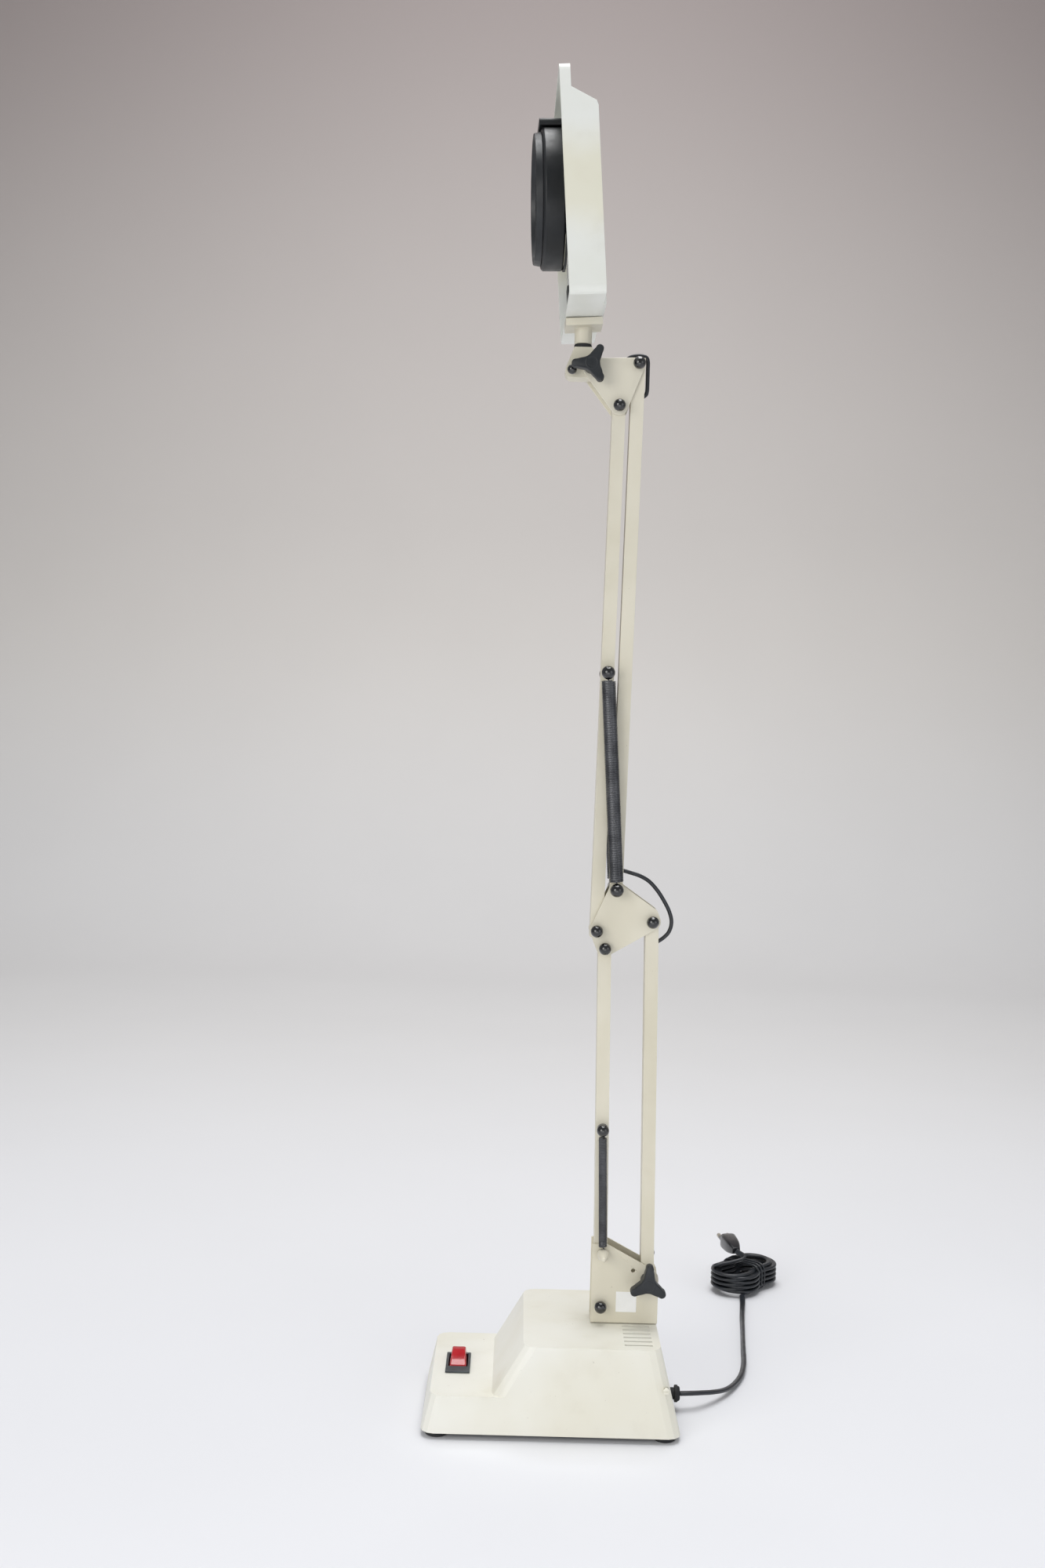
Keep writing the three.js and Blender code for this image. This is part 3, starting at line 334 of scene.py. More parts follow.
def lathed(name, profile, at, direction, material, segments=40, smooth_angle=40):
    """A turned piece. Profile points are (radius, distance along direction) from the point at."""
    direction = Vector(direction).normalized()
    side = direction.orthogonal().normalized()
    other = direction.cross(side)
    verts, faces, rings = [], [], []
    for radius, along in profile:
        centre = Vector(at) + direction * along
        if radius < 1e-7:
            rings.append([len(verts)])
            verts.append(centre)
            continue
        rings.append(list(range(len(verts), len(verts) + segments)))
        for i in range(segments):
            angle = 2 * math.pi * i / segments
            verts.append(centre + radius * (math.cos(angle) * side + math.sin(angle) * other))
    for low, high in zip(rings, rings[1:]):
        for i in range(segments):
            j = (i + 1) % segments
            if len(low) == 1 and len(high) > 1:
                faces.append((low[0], high[i], high[j]))
            elif len(high) == 1 and len(low) > 1:
                faces.append((low[i], low[j], high[0]))
            elif len(low) > 1:
                faces.append((low[i], low[j], high[j], high[i]))
    return new_object(name, mesh_of(name, verts, faces), material, smooth_angle)


def mm(points):
    """Points given in millimetres, in metres."""
    return [tuple(value * MM for value in point) for point in points]


def arc(centre, radius, start, end, steps):
    """Points on an arc as (radius, along) pairs for a profile, in the units given."""
    return [
        (centre[0] + radius * math.cos(a), centre[1] + radius * math.sin(a))
        for a in (math.radians(start + (end - start) * i / steps) for i in range(steps + 1))
    ]


def smooth_path(points, step):
    """A Catmull-Rom line through the points, at about the given step."""
    points = [Vector(p) for p in points]
    ends = [2 * points[0] - points[1], *points, 2 * points[-1] - points[-2]]
    line = []
    for a, b, c, d in zip(ends, ends[1:], ends[2:], ends[3:]):
        count = max(2, round((c - b).length / step))
        for i in range(count):
            t = i / count
            second = 2 * a - 5 * b + 4 * c - d
            third = 3 * b - a - 3 * c + d
            line.append(0.5 * (2 * b + (c - a) * t + second * t * t + third * t**3))
    line.append(points[-1])
    return line


def swept(name, line, section, material, twist=None, closed=False, start_up=(0, 0, 1)):
    """A section of (across, up) points carried along the line with no roll of its own."""
    line = [Vector(p) for p in line]
    count, sides = len(line), len(section)
    verts, faces = [], []
    up = Vector(start_up)
    for i, point in enumerate(line):
        if closed:
            tangent = line[(i + 1) % count] - line[i - 1]
        else:
            tangent = line[min(i + 1, count - 1)] - line[max(i - 1, 0)]
        tangent.normalize()
        up = (up - tangent * up.dot(tangent)).normalized()
        across = tangent.cross(up)
        roll = twist(i / (count - 1)) if twist else 0.0
        for a, b in section:
            turned_a = a * math.cos(roll) - b * math.sin(roll)
            turned_b = a * math.sin(roll) + b * math.cos(roll)
            verts.append(point + across * turned_a + up * turned_b)
    spans = count if closed else count - 1
    for i in range(spans):
        here, there = i * sides, ((i + 1) % count) * sides
        for k in range(sides):
            m = (k + 1) % sides
            faces.append((here + k, here + m, there + m, there + k))
    if not closed:
        faces.append(tuple(range(sides)))
        faces.append(tuple(range((count - 1) * sides, count * sides)))
    return new_object(name, mesh_of(name, verts, faces), material, 50)


def circle_section(radius, sides=10):
    return [
        (radius * math.cos(2 * math.pi * k / sides), radius * math.sin(2 * math.pi * k / sides))
        for k in range(sides)
    ]


def plate(name, outline, y0, y1, material, bevel=0.35 * MM, segments=2, angle=32):
    """An XZ outline between two Y faces with rounded edges."""
    verts = [(x, y0, z) for x, z in outline] + [(x, y1, z) for x, z in outline]
    n = len(outline)
    faces = [tuple(range(n)), tuple(range(n, 2 * n))]
    faces += [(i, (i + 1) % n, n + (i + 1) % n, n + i) for i in range(n)]
    return bevelled(new_object(name, mesh_of(name, verts, faces), material, angle), bevel, segments, angle)


def block(name, low, high, material, bevel=0.3 * MM, segments=2):
    outline = [(low[0], low[2]), (high[0], low[2]), (high[0], high[2]), (low[0], high[2])]
    return plate(name, outline, low[1], high[1], material, bevel, segments)


def carve(piece, tool):
    """Cuts the tool out of the piece and removes the tool."""
    modifier = piece.modifiers.new("cut", "BOOLEAN")
    modifier.operation = "DIFFERENCE"
    modifier.object = tool
    apply_modifiers(piece)
    bpy.data.objects.remove(tool)
    return piece


# ---------------------------------------------------------------- mains cord
CORD_ROUTE_MM = [
    (93.6, 0, 12), (102, 1.5, 11.8), (110, 6, 10.5), (119, 14, 8), (129, 26, 5),
    (138, 42, 3), (146, 62, 2.6), (151, 85, 2.6), (154, 110, 2.6), (157, 135, 2.6),
    (160, 160, 2.6), (163, 185, 2.6), (166, 206, 2.6), (168.3, 222, 2.8), (169.4, 234.8, 3),
]
HANK_CENTRE = Vector((175, 268, 0)) * MM
HANK_TURN = math.radians(52)
HANK_ALONG = Vector((math.cos(HANK_TURN), math.sin(HANK_TURN), 0))
HANK_ACROSS = Vector((-math.sin(HANK_TURN), math.cos(HANK_TURN), 0))
HANK_STRAIGHT = 14.5 * MM
HANK_LOOPS = 8.72
LOOP_LOW = 3.0 * MM
LOOP_RISE = 2.0 * MM
INNER_LOOP = 14.6 * MM
OUTER_LOOP = 18.9 * MM
CROSSING = 0.2  # share of a turn in which the cord changes columns
WAIST_REACH = 9 * MM
WAIST_SHARE = 0.16  # how far the tie draws the loops together
LOOP_STEPS = 44
FIRST_STEP = 8  # where the free cord joins the first loop


def loop_radius(turns):
    """The loops lie in two columns and cross from one to the other at one end of the hank."""
    whole = math.floor(turns)
    t = turns - whole
    share = min(1, max(0, (t - (1 - CROSSING)) / CROSSING))
    share = share * share * (3 - 2 * share)
    if whole % 2:
        share = 1 - share
    return INNER_LOOP + (OUTER_LOOP - INNER_LOOP) * share


def hank_point(turns):
    """A point of the wound cord, from the near straight side, anticlockwise from above."""
    radius = loop_radius(turns)
    straight = 2 * HANK_STRAIGHT
    bend = math.pi * radius
    at = (turns % 1) * 2 * (straight + bend)
    if at < straight:
        along, across = -HANK_STRAIGHT + at, -radius
    elif at < straight + bend:
        angle = -math.pi / 2 + (at - straight) / radius
        along, across = HANK_STRAIGHT + radius * math.cos(angle), radius * math.sin(angle)
    elif at < 2 * straight + bend:
        along, across = HANK_STRAIGHT - (at - straight - bend), radius
    else:
        angle = math.pi / 2 + (at - 2 * straight - bend) / radius
        along, across = -HANK_STRAIGHT + radius * math.cos(angle), radius * math.sin(angle)
    waist = math.exp(-((along / WAIST_REACH) ** 2))
    across *= 1 - WAIST_SHARE * waist
    height = LOOP_LOW + LOOP_RISE * turns
    return HANK_CENTRE + HANK_ALONG * along + HANK_ACROSS * across + Vector((0, 0, height))


free_part = smooth_path(mm(CORD_ROUTE_MM), 4 * MM)
wound_part = [
    hank_point(i / LOOP_STEPS) for i in range(FIRST_STEP, round(HANK_LOOPS * LOOP_STEPS) + 1)
]


def nearest(line, point):
    """The place in the line of the point that lies nearest to the given one."""
    return line.index(min(line, key=lambda p: (p - point).length))


lead_in = smooth_path([free_part[-2], free_part[-1], wound_part[0], wound_part[1]], 3 * MM)
lead_in = lead_in[nearest(lead_in, free_part[-1]) + 1 : nearest(lead_in, wound_part[0])]

HANK_TOP_MM = 24.4
PLUG_HALF_HEIGHT_MM = 6.75
PLUG_HALF_LENGTH_MM = 15
PLUG_TURN = math.radians(8)
PLUG_CENTRE = Vector((166, 284, HANK_TOP_MM + PLUG_HALF_HEIGHT_MM)) * MM
PLUG_FORWARD = Vector((-math.sin(PLUG_TURN), math.cos(PLUG_TURN), 0))
plug_rear = PLUG_CENTRE - PLUG_FORWARD * PLUG_HALF_LENGTH_MM * MM
lead_out = smooth_path(
    [
        wound_part[-2],
        wound_part[-1],
        wound_part[-1] + (wound_part[-1] - wound_part[-2]).normalized() * 8 * MM + Vector((0, 0, 2 * MM)),
        plug_rear - PLUG_FORWARD * 12 * MM + Vector((3, 0, -3)) * MM,
        plug_rear - PLUG_FORWARD * 1 * MM,
    ],
    3 * MM,
)[2:]
cord_line = free_part + lead_in + wound_part + lead_out

FLEX_WIDTH = 4.8 * MM
FLEX_THICK = 2.7 * MM


def twin_section(width, thick, sides=9):
    """Two round cores side by side under one sheath, with a groove between them."""
    radius = thick / 2
    offset = width / 2 - radius
    points = []
    for centre, start in ((offset, -105), (-offset, 75)):
        for i in range(sides):
            angle = math.radians(start + 210 * i / (sides - 1))
            points.append((centre + radius * math.cos(angle), radius * math.sin(angle)))
    return points


cord = swept(
    "mains_flex",
    cord_line,
    twin_section(FLEX_WIDTH, FLEX_THICK),
    FLEX,
    twist=lambda t: math.radians(70) * math.sin(min(t / 0.17, 1) * math.pi) ** 2,
)
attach(cord, "base")
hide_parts("mains_cord", "cord_hank")

# ---------------------------------------------------------------- mains plug
PLUG_SQUARENESS = 0.45  # 1 would give an ellipse, and 0 a sharp rectangle
PIN_SPACING_MM = 8
plug_basis = Matrix.Translation(PLUG_CENTRE) @ Matrix.Rotation(PLUG_TURN, 4, "Z")


def plug_body():
    """A flat moulded plug that widens from a narrow tail to a wide collar at the pins."""
    stations = [
        (-15.0, 3.4, 2.6), (-13.2, 3.9, 3.2), (-10.5, 4.6, 4.0), (-7.0, 5.4, 5.0), (-2.0, 6.1, 5.9),
        (4.0, 6.6, 6.4), (9.0, 6.8, 6.6), (13.6, 6.9, 6.7), (15.0, 6.5, 6.3),
    ]
    verts, faces = [], []
    sides = 32
    for along, half_width, half_height in stations:
        for k in range(sides):
            angle = 2 * math.pi * k / sides
            c, s = math.cos(angle), math.sin(angle)
            x = half_width * math.copysign(abs(c) ** PLUG_SQUARENESS, c)
            z = half_height * math.copysign(abs(s) ** PLUG_SQUARENESS, s)
            verts.append(plug_basis @ (Vector((x, along, z)) * MM))
    for i in range(len(stations) - 1):
        for k in range(sides):
            m = (k + 1) % sides
            faces.append((i * sides + k, i * sides + m, (i + 1) * sides + m, (i + 1) * sides + k))
    faces.append(tuple(range(sides)))
    faces.append(tuple(range((len(stations) - 1) * sides, len(stations) * sides)))
    body = new_object("plug_body", mesh_of("plug_body", verts, faces), PLUG_PLASTIC)
    return bevelled(body, 0.5 * MM, 3, 50)


plug = plug_body()
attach(plug, "base")
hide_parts("mains_plug")
for label, side in (("a", -1), ("b", 1)):
    foot = plug_basis @ (Vector((side * PIN_SPACING_MM / 2, 14.5, 0)) * MM)
    sleeve = lathed(
        f"plug_pin_sleeve_{label}",
        mm([(0, 0), (1.95, 0), (1.95, 9), (1.8, 9.4), (0, 9.4)]),
        foot, PLUG_FORWARD, PLUG_PLASTIC, 24,
    )
    pin = lathed(
        f"plug_pin_{label}",
        mm([(0, 9), (1.9, 9), (1.95, 10), *arc((0, 15.4), 1.95, 0, 90, 6)]),
        foot, PLUG_FORWARD, PIN_BRASS, 24,
    )
    for piece in (sleeve, pin):
        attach(piece, "base")

TIE_HALF_ACROSS = 18.4 * MM
TIE_LOW = 1.2 * MM
TIE_HIGH = 22.8 * MM
TIE_CORNER = 6.5 * MM
TIE_WIRE = 1.15 * MM
TIE_SLANT = 0.05


def hank_tie(index, offset):
    """One turn of the soft tie: a rounded ring across the hank, at the offset along it."""
    left, right = -TIE_HALF_ACROSS + TIE_CORNER, TIE_HALF_ACROSS - TIE_CORNER
    bottom, top = TIE_LOW + TIE_CORNER, TIE_HIGH - TIE_CORNER
    ring = []
    for corner_x, corner_z, start in (
        (right, top, 0), (left, top, 90), (left, bottom, 180), (right, bottom, 270),
    ):
        for i in range(9):
            angle = math.radians(start + 90 * i / 8)
            across = corner_x + TIE_CORNER * math.cos(angle)
            height = corner_z + TIE_CORNER * math.sin(angle)
            slant = offset * MM + TIE_SLANT * across
            ring.append(HANK_CENTRE + HANK_ALONG * slant + HANK_ACROSS * across + Vector((0, 0, height)))
    section = [(a * 0.9, b * 0.75) for a, b in circle_section(TIE_WIRE, 10)]
    tie = swept(f"hank_tie_{index}", ring, section, FLEX, closed=True, start_up=HANK_ALONG)
    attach(tie, "base")


for index, offset in enumerate((-4.6, 0, 4.6)):
    hank_tie(index, offset)


# ---------------------------------------------------------------- base
def by_a_slot(point):
    """True on the deck round the vent slots, whose edges stay nearly sharp."""
    return 0.048 < point.x < 0.070 and point.z > 0.058 and 0.012 < abs(point.y) < 0.052


refined("base_cover", CREAM, "base", 1.6 * MM, 4, 24, crisp=(by_a_slot, 0.12))
refined("base_plate", RUBBER, "base", 0.5 * MM)
for name in ("foot_left_near", "foot_left_far", "foot_right_near", "foot_right_far"):
    low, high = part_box(name)
    centre = (low + high) / 2
    foot = lathed(
        "look_" + name,
        mm([(0, 0), (7.2, 0), (7.7, 0.25), (8, 0.7), (8, 2.3), (0, 2.3)]),
        (centre.x, centre.y, low.z), (0, 0, 1), RUBBER,
    )
    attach(foot, "base")
    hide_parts(name)

for name, material in (("transformer_core", CORE_STEEL), ("transformer_winding", WINDING)):
    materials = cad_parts[name].data.materials
    materials.clear()
    materials.append(material)

low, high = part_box("cover_screw")
screw_at = ((low.x + high.x) / 2, low.y, (low.z + high.z) / 2)
screw = lathed(
    "look_cover_screw",
    mm([(0, 9.1), (1.6, 9.1), (1.6, 0.8), (2.3, 0.8), (2.25, 0.5), (1.7, 0.15), (0.9, 0.01), (0, 0)]),
    screw_at, (0, 1, 0), CREAM,
)
SLOT_HALF_LENGTH = 0.0026
SLOT_HALF_WIDTH = 0.00035
SLOT_DEPTH = 0.0005
slot_cut = block(
    "slot_cut",
    (screw_at[0] - SLOT_HALF_LENGTH, low.y - 0.001, screw_at[2] - SLOT_HALF_WIDTH),
    (screw_at[0] + SLOT_HALF_LENGTH, low.y + SLOT_DEPTH, screw_at[2] + SLOT_HALF_WIDTH),
    CREAM, 0,
)
carve(screw, slot_cut)
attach(screw, "base")
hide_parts("cover_screw")

refined("switch_body", SWITCH_PLASTIC, "base", 0.55 * MM, 3)
rocker = refined("switch_rocker", ROCKER_RED, "rocker", 1.1 * MM, 4, 20)
ROCKER_X = -66 * MM
ROCKER_FOOT_Z = 31.5 * MM
ROCKER_TOP_Z = 38 * MM
ROCKER_TAPER = 0.22  # share of its width that the rocker loses from foot to top
for vertex in rocker.data.vertices:
    rise = min(1, max(0, (vertex.co.z - ROCKER_FOOT_Z) / (ROCKER_TOP_Z - ROCKER_FOOT_Z)))
    vertex.co.x = ROCKER_X + (vertex.co.x - ROCKER_X) * (1 - ROCKER_TAPER * rise)

low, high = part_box("cord_gland")
gland_axis_z = (low.z + high.z) / 2
gland = lathed(
    "look_cord_gland",
    mm([
        (2.9, 0), (4.4, 0), (4.8, 0.25), (5.2, 1.2), (5.7, 1.5), (6.0, 2.1), (6.0, 3.4), (5.8, 3.75),
        (4.2, 3.85), (4.2, 11.8), (2.9, 11.8), (2.9, 0),
    ]),
    (high.x, 0, gland_axis_z), (-1, 0, 0), RUBBER,
)
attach(gland, "base")
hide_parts("cord_gland")


# ---------------------------------------------------------------- arms
def ball_nut(name, at, side, ball, body, reach):
    """A black cap nut with a small collar against the plate. at is its centre on the bolt axis."""
    collar = ball * 0.62
    profile = [(0, -reach), (collar, -reach), (collar * 1.04, -reach + 0.25 * MM), (collar, -ball * 0.72)]
    profile += arc((0, 0), ball, -46, 90, 14)
    nut = lathed(name, profile, at, (0, side, 0), NUT_PLASTIC, 32, 30)
    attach(nut, body)


def bolt_set(node, body, ball=4.4, shank=2.0, face=9.5):
    """The bolt with its shank and two cap nuts, which reach back to the faces they clamp."""
    low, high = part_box(node)
    x, z = (low.x + high.x) / 2, (low.z + high.z) / 2
    near_y, far_y = low.y + ball * MM, high.y - ball * MM
    length = (far_y - near_y) / MM
    rod = lathed(
        "look_" + node,
        mm([(0, 0), (shank, 0), (shank, length), (0, length)]),
        (x, near_y, z), (0, 1, 0), ZINC, 20,
    )
    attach(rod, body)
    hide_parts(node)
    for label, side, y in (("near", -1, near_y), ("far", 1, far_y)):
        reach = min(max(abs(y) - face * MM, ball * 0.75 * MM), ball * 1.35 * MM)
        ball_nut(f"{node}_nut_{label}", (x, y, z), side, ball * MM, body, reach)


for node, body in (
    ("bracket_bolt", "swivel_bracket"),
    ("elbow_bolt_lower_front", "elbow"),
    ("elbow_bolt_lower_back", "elbow"),
    ("elbow_bolt_upper_front", "elbow"),
    ("head_bolt_front", "head_bracket"),
    ("head_bolt_back", "head_bracket"),
):
    bolt_set(node, body)
bolt_set("elbow_bolt_upper_back", "elbow", ball=4.8)
bolt_set("upper_spring_stud", "upper_front", ball=4.8, shank=1.6, face=7.5)
bolt_set("lower_spring_stud", "lower_front", shank=1.6, face=7.5)
bolt_set("knuckle_bolt", "knuckle", ball=3.4, shank=1.6, face=7.6)

for node, body in (
    ("lower_front_link", "lower_front"), ("lower_back_link", "lower_back"),
    ("upper_front_link", "upper_front"), ("upper_back_link", "upper_back"),
):
    refined(node, ARM_PAINT, body, 1.0 * MM, 4, 60)
for node, body in (
    ("arm_bracket", "swivel_bracket"), ("elbow_plate_near", "elbow"), ("elbow_plate_far", "elbow"),
    ("head_plate_near", "head_bracket"), ("head_plate_far", "head_bracket"),
):
    refined(node, ARM_PAINT, body, 0.45 * MM, 3, 40)
refined("swivel_spindle", ZINC, "swivel_bracket", 0.3 * MM)
refined("tilt_knuckle", ARM_PAINT, "knuckle", 0.7 * MM, 3, 40)
refined("neck_bracket", ARM_PAINT, "head", 0.7 * MM, 3, 40)

low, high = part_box("lower_spring_post")
post_x, post_z = (low.x + high.x) / 2, (low.z + high.z) / 2
post = lathed(
    "look_lower_spring_post",
    mm([
        (0, 9.8), (3.6, 9.8), (3.5, 11.2), (2.9, 11.9), (2.9, 13.1), (3.6, 13.4), (4.2, 13.8), (4.25, 14.6),
        (3.95, 17), (3.3, 20), (2.4, 23), (1.7, 25.2), (1.1, 26), (0, 26.2),
    ]),
    (post_x, 0, post_z), (0, -1, 0), ARM_PAINT,
)
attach(post, "swivel_bracket")
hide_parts("lower_spring_post")

# The blank label on the near cheek of the bracket.
LABEL_LEFT, LABEL_RIGHT = 45.0 * MM, 59.5 * MM
LABEL_BOTTOM, LABEL_TOP = 73.5 * MM, 88.0 * MM
LABEL_PROUD = 0.12 * MM
LABEL_SUNK = 0.4 * MM
low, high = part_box("arm_bracket")
label = block(
    "bracket_label",
    (LABEL_LEFT, low.y - LABEL_PROUD, LABEL_BOTTOM),
    (LABEL_RIGHT, low.y + LABEL_SUNK, LABEL_TOP),
    LABEL, 0.06 * MM, 1,
)
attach(label, "swivel_bracket")


# ---------------------------------------------------------------- knobs
LOWER_AXIS = (0.067, 0.0975)  # x and z of the clamp bolt through the bracket
HEAD_AXIS = (0.009, 0.739)  # x and z of the tilt bolt
KNOB_REACH = 14.0  # from the axis to a lobe's end, in millimetres like the next three
LOBE_RADIUS = 2.75
KNOB_WAIST = 5.6  # from the axis to the outline midway between two lobes
KNOB_INNER = 16.6  # from the middle of the lamp to the knob's inner face
# Each layer is (depth in millimetres from the inner face, share of full size).
KNOB_LAYERS = [(0.0, 0.92), (0.5, 0.985), (1.3, 1.0), (6.9, 1.0), (7.8, 0.97), (8.3, 0.88)]
STEPS_PER_LOBE = 48


def knob_reach(phase):
    """Distance from the axis to the outline: a round-ended lobe blended into the waist."""
    end_centre = KNOB_REACH - LOBE_RADIUS
    inside = LOBE_RADIUS * LOBE_RADIUS - (end_centre * math.sin(phase)) ** 2
    if inside > 0 and phase < math.pi / 2:
        return end_centre * math.cos(phase) + math.sqrt(inside)
    side_angle = math.asin(LOBE_RADIUS / end_centre)
    edge = end_centre * math.cos(side_angle)
    share = (phase - side_angle) / (math.pi / 3 - side_angle)
    share = min(max(share, 0), 1)
    drop = 1 - (1 - share) ** 2.6
    return edge + (KNOB_WAIST - edge) * drop


def knob_mesh(name, axis, side, turn):
    """The lobed outline in layers (depth, share of full size), closed at both faces."""
    verts, faces = [], []
    count = 3 * STEPS_PER_LOBE
    for depth, share in KNOB_LAYERS:
        for lobe in range(3):
            for i in range(STEPS_PER_LOBE):
                t = i / STEPS_PER_LOBE
                angle = math.radians(turn) + (lobe + t) * 2 * math.pi / 3
                phase = abs(((t + 0.5) % 1) - 0.5) * 2 * math.pi / 3
                reach = max(knob_reach(phase) * share, KNOB_WAIST * 0.85)
                x = axis[0] + reach * MM * math.cos(angle)
                z = axis[1] + reach * MM * math.sin(angle)
                verts.append((x, side * (KNOB_INNER + depth) * MM, z))
    for layer in range(len(KNOB_LAYERS) - 1):
        here, there = layer * count, (layer + 1) * count
        for k in range(count):
            m = (k + 1) % count
            faces.append((here + k, here + m, there + m, there + k))
    faces.append(tuple(range(count)))
    faces.append(tuple(range((len(KNOB_LAYERS) - 1) * count, len(KNOB_LAYERS) * count)))
    return mesh_of(name, verts, faces)


def knob(node, body, axis, side, turn):
    """A three-lobed clamp knob with a raised hub and a boss to the plate."""
    name = "look_" + node
    piece = new_object(name, knob_mesh(name, axis, side, turn), KNOB_PLASTIC, 35)
    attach(piece, body)
    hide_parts(node)
    centre = (axis[0], 0, axis[1])
    boss_profile = [(2.3, 9.9), (4.8, 9.9), (5, 10.2), (4.9, 15), (5.4, 16.8), (2.3, 16.8), (2.3, 9.9)]
    hub_profile = [
        (4.9, 24.2), (4.9, 24.75), (4.6, 25.0), (3.6, 25.0), (3.2, 24.7), (0, 24.6), (0, 24.0), (4.9, 24.0),
    ]
    for part, profile in (("_boss", boss_profile), ("_hub", hub_profile)):
        turned = lathed(node + part, mm(profile), centre, (0, side, 0), KNOB_PLASTIC)
        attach(turned, body)


knob("lower_knob_near", "knob_lower_near", LOWER_AXIS, -1, 87)
knob("lower_knob_far", "knob_lower_far", LOWER_AXIS, 1, 68)
knob("head_knob", "knob_head", HEAD_AXIS, -1, 62)
for node, axis, body, (near_end, far_end) in (
    ("lower_knob_bolt", LOWER_AXIS, "swivel_bracket", (-19.5, 19.5)),
    ("tilt_bolt", HEAD_AXIS, "head_bracket", (-19.5, 10)),
):
    bolt = lathed(
        "look_" + node,
        mm([
            (0, near_end), (1.6, near_end), (2, near_end + 0.5), (2, far_end - 0.5), (1.6, far_end),
            (0, far_end),
        ]),
        (axis[0], 0, axis[1]), (0, 1, 0), ZINC, 20,
    )
    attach(bolt, body)
    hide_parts(node)
ball_nut("tilt_bolt_nut", (HEAD_AXIS[0], 0.0139, HEAD_AXIS[1]), 1, 4.1 * MM, "head_bracket", 4.3 * MM)


# ---------------------------------------------------------------- springs
def coil_line(foot, head, start, end, radius, wire):
    """The centreline of a close-wound helix about the line from foot to head."""
    pitch = wire * 1.04
    axis = (head - foot).normalized()
    side = Vector((0, 1, 0))
    other = axis.cross(side)
    steps_per_turn = 12
    steps = round((end - start) / pitch * steps_per_turn)
    line = []
    for i in range(steps + 1):
        angle = 2 * math.pi * i / steps_per_turn
        along = start + (end - start) * i / steps
        line.append(foot + axis * along + radius * (math.cos(angle) * side + math.sin(angle) * other))
    return line


def hook_line(centre, toward, radius, coil_point, stem_y):
    """A ring round a stud that turns up into the spring's wire."""
    across = Vector((0, 1, 0)).cross(toward)
    line = []
    for i in range(21):
        angle = math.radians(75 + 330 * i / 20)
        line.append(centre + radius * (math.cos(angle) * toward + math.sin(angle) * across))
    start = centre + toward * (radius + 1.4 * MM)
    start.y += (stem_y - centre.y) * 0.5
    line.append(start)
    line.append(coil_point)
    return line


def spring(name, foot, head, y, eye_y, outer, wire, foot_body, link_body, nodes):
    """The coil with its foot hook, and the head hook whose shank runs into the coil."""
    foot = Vector((foot[0], y, foot[1])) * MM
    head = Vector((head[0], y, head[1])) * MM
    axis = (head - foot).normalized()
    length = (head - foot).length
    radius = (outer - wire / 2) * MM
    start, end = COIL_GAP, length - COIL_GAP
    coil = coil_line(foot, head, start, end, radius, wire * MM)
    section = circle_section(wire * MM / 2, 7)
    body_piece = swept(name + "_coil", coil, section, DARK_STEEL, start_up=(0, 1, 0))
    foot_centre = Vector((foot.x, eye_y * MM, foot.z))
    foot_line = hook_line(foot_centre, axis, EYE_RADIUS, coil[0], y * MM)
    foot_path = smooth_path(foot_line, HOOK_STEP)
    hook = swept(name + "_foot_hook", foot_path, section, DARK_STEEL, start_up=(0, 1, 0))
    head_centre = Vector((head.x, eye_y * MM, head.z))
    into_coil = head - axis * SHANK_LENGTH
    head_line = hook_line(head_centre, -axis, EYE_RADIUS, head - axis * (COIL_GAP + 0.5 * MM), y * MM)
    head_path = smooth_path([*head_line, into_coil], HOOK_STEP)
    eye = swept(name + "_head_hook", head_path, section, DARK_STEEL, start_up=(0, 1, 0))
    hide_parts(*nodes)
    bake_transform(body_piece)
    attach(hook, foot_body)
    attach(eye, link_body)


EYE_RADIUS = 3.6 * MM
COIL_GAP = 5.8 * MM  # from a stud's centre to the first turn
SHANK_LENGTH = 20 * MM  # from the head stud's centre to the shank's end in the coil
HOOK_STEP = 0.8 * MM
spring("lower_spring", (34.6, 115.5), (32.1, 204.7), -13.6, -12.4, 3.0, 0.75,
       "lower_spring_foot", "lower_front", ["lower_spring", "lower_spring_eye"])
for label, sign in (("near", -1), ("far", 1)):
    spring(f"upper_spring_{label}", (37, 374.4), (26.7, 526.5), sign * 15.1, sign * 12.2, 5.0, 0.95,
           "upper_spring_foot", "upper_front",
           [f"upper_spring_{label}", f"upper_spring_eye_{label}"])


# ---------------------------------------------------------------- lamp leads
ELBOW_ROUTE_MM = [
    (41, 0, 387.4), (47.5, 0, 385.6), (54, 0, 383.6), (60.5, 0, 380), (66.5, 0, 373.8), (71.8, 0, 366),
    (75.8, 0, 358.2), (77.4, 0, 351), (75.8, 0, 344.4), (71.8, 0, 339.8), (66.5, 0, 336.2),
]
LEAD_RADIUS = 1.4 * MM
LEAD_STEP = 1.2 * MM
elbow_line = smooth_path(mm(ELBOW_ROUTE_MM), LEAD_STEP)
middle = len(elbow_line) // 2
for label, part, far_body, start, end in (
    ("upper", elbow_line[: middle + 1], "upper_back", elbow_line[0], elbow_line[middle]),
    ("lower", elbow_line[middle:], "lower_back", elbow_line[-1], elbow_line[middle]),
):
    lead = swept(f"elbow_lead_{label}", part, circle_section(LEAD_RADIUS, 14), FLEX, start_up=(0, 1, 0))
    if label == "upper":
        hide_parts("elbow_lead")
    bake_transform(lead)

